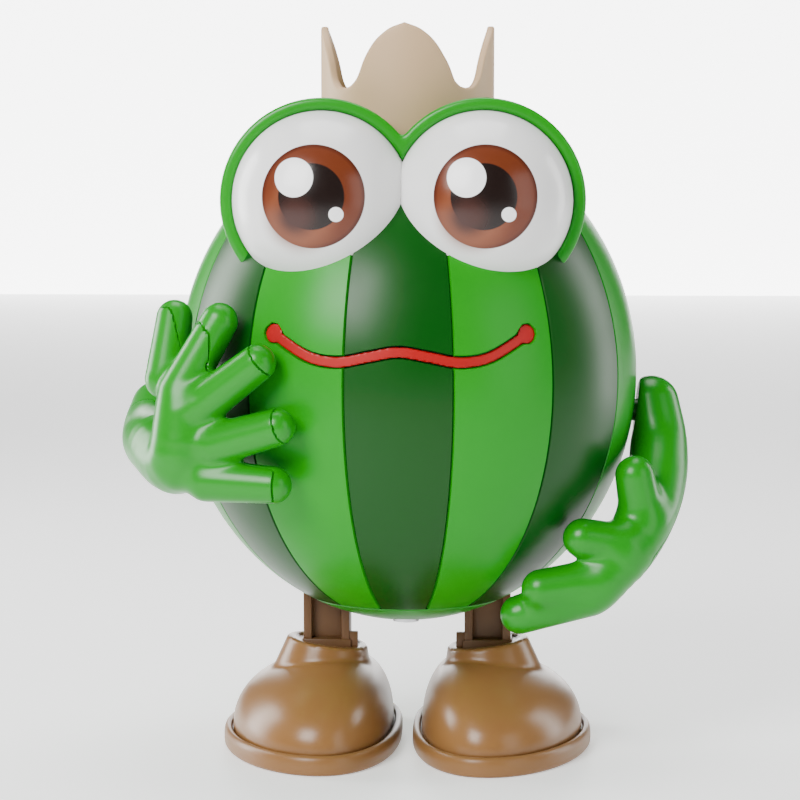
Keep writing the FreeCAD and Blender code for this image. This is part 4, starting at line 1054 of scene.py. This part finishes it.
def build_key():
    low = np.array(KEY_LOW) - 0.8
    high = np.array(KEY_HIGH) + 0.8
    points, faces = skin(key_field, low, high, 0.26)
    dress(finish_mesh("key", mesh_of(points, faces), KEY_BROWN), "key", "key_plastic", "winding_key")


build_key()


# ---- finishes on the pieces kept from the CAD ---------------------------------------------------------
KEPT = {
    STEEL: ("body_screws", "base_screws", "left_shoe_screws", "right_shoe_screws", "left_shoulder_retainer",
            "right_shoulder_retainer", "crank_clips", "arbor_clip", "motor_nuts", "click_pin"),
    PLATE_STEEL: ("left_motor_plate", "right_motor_plate", "motor_floor_plate", "motor_rear_plate",
                  "key_bridge", "motor_pillars", "spring_post", "crankshaft", "first_arbor", "fan_arbor",
                  "key_arbor", "ratchet_wheel"),
    BLUE_STEEL: ("mainspring", "click_spring", "click"),
    BRASS: ("first_pinion", "first_wheel", "crank_pinion", "crank_wheel", "crown_wheel", "fan_pinion"),
    INNER_WHITE: ("left_crank", "right_crank", "fan"),
    ARM_GREEN: ("left_shoulder_pin", "right_shoulder_pin"),
}
for finish, nodes in KEPT.items():
    for node in nodes:
        kept = bpy.data.objects[node]
        for mesh_slot in kept.material_slots:
            mesh_slot.link = "OBJECT"
            mesh_slot.material = finish


# ---- light, ground and camera -------------------------------------------------------------------------
def panel(name, place, aim, width, height, watts):
    light = bpy.data.lights.new(name, "AREA")
    light.shape, light.size, light.size_y, light.energy = "RECTANGLE", width, height, watts
    lamp = bpy.data.objects.new(name, light)
    bpy.context.scene.collection.objects.link(lamp)
    lamp.location = Vector(place)
    lamp.rotation_euler = (Vector(aim) - Vector(place)).to_track_quat("-Z", "Y").to_euler()


CENTRE = (0, 0, 0.052)
panel("key_panel", (-0.22, -0.36, 0.32), CENTRE, 0.24, 0.24, 3.7)
panel("fill_panel", (0.34, -0.26, 0.16), CENTRE, 0.20, 0.30, 0.45)
panel("left_edge", (-0.32, 0.14, 0.10), CENTRE, 0.14, 0.34, 1.9)
panel("right_edge", (0.32, 0.14, 0.10), CENTRE, 0.10, 0.34, 0.8)
panel("top_panel", (0.0, 0.05, 0.36), CENTRE, 0.20, 0.20, 0.8)

world = bpy.data.worlds.new("studio")
bpy.context.scene.world = world
world.use_nodes = True
world.node_tree.nodes["Background"].inputs["Color"].default_value = (1, 1, 1, 1)
world.node_tree.nodes["Background"].inputs["Strength"].default_value = 0.10



def glowing_white(name, rough, strength):
    """Pale matt ground or backdrop with a little light of its own."""
    made = material(name, (0.9, 0.9, 0.9), rough=rough, drift=0.0, bump=0.0)
    shader = made.node_tree.nodes["Principled BSDF"]
    shader.inputs["Emission Color"].default_value = (1, 1, 1, 1)
    shader.inputs["Emission Strength"].default_value = strength
    return made


floor_bm = bmesh.new()
bmesh.ops.create_grid(floor_bm, x_segments=1, y_segments=1, size=2.0)
floor = finish_mesh("floor", floor_bm, glowing_white("floor_white", 0.5, 0.5))

wall_bm = bmesh.new()
bmesh.ops.create_grid(wall_bm, x_segments=1, y_segments=1, size=0.42)
bmesh.ops.rotate(wall_bm, verts=wall_bm.verts, matrix=Matrix.Rotation(math.pi / 2, 3, "X"))
bmesh.ops.translate(wall_bm, verts=wall_bm.verts, vec=(0, 1.2, 0))
wall = finish_mesh("wall", wall_bm, glowing_white("wall_white", 0.6, 6.0))

camera_data = bpy.data.cameras.new("camera")
camera_data.lens = 112.5
camera_data.sensor_width = 36
camera = bpy.data.objects.new("camera", camera_data)
bpy.context.scene.collection.objects.link(camera)
camera.location = (0.01369, -0.36438, 0.0846)
camera.rotation_euler = (math.radians(84.5), 0, math.radians(2.35))
bpy.context.scene.camera = camera
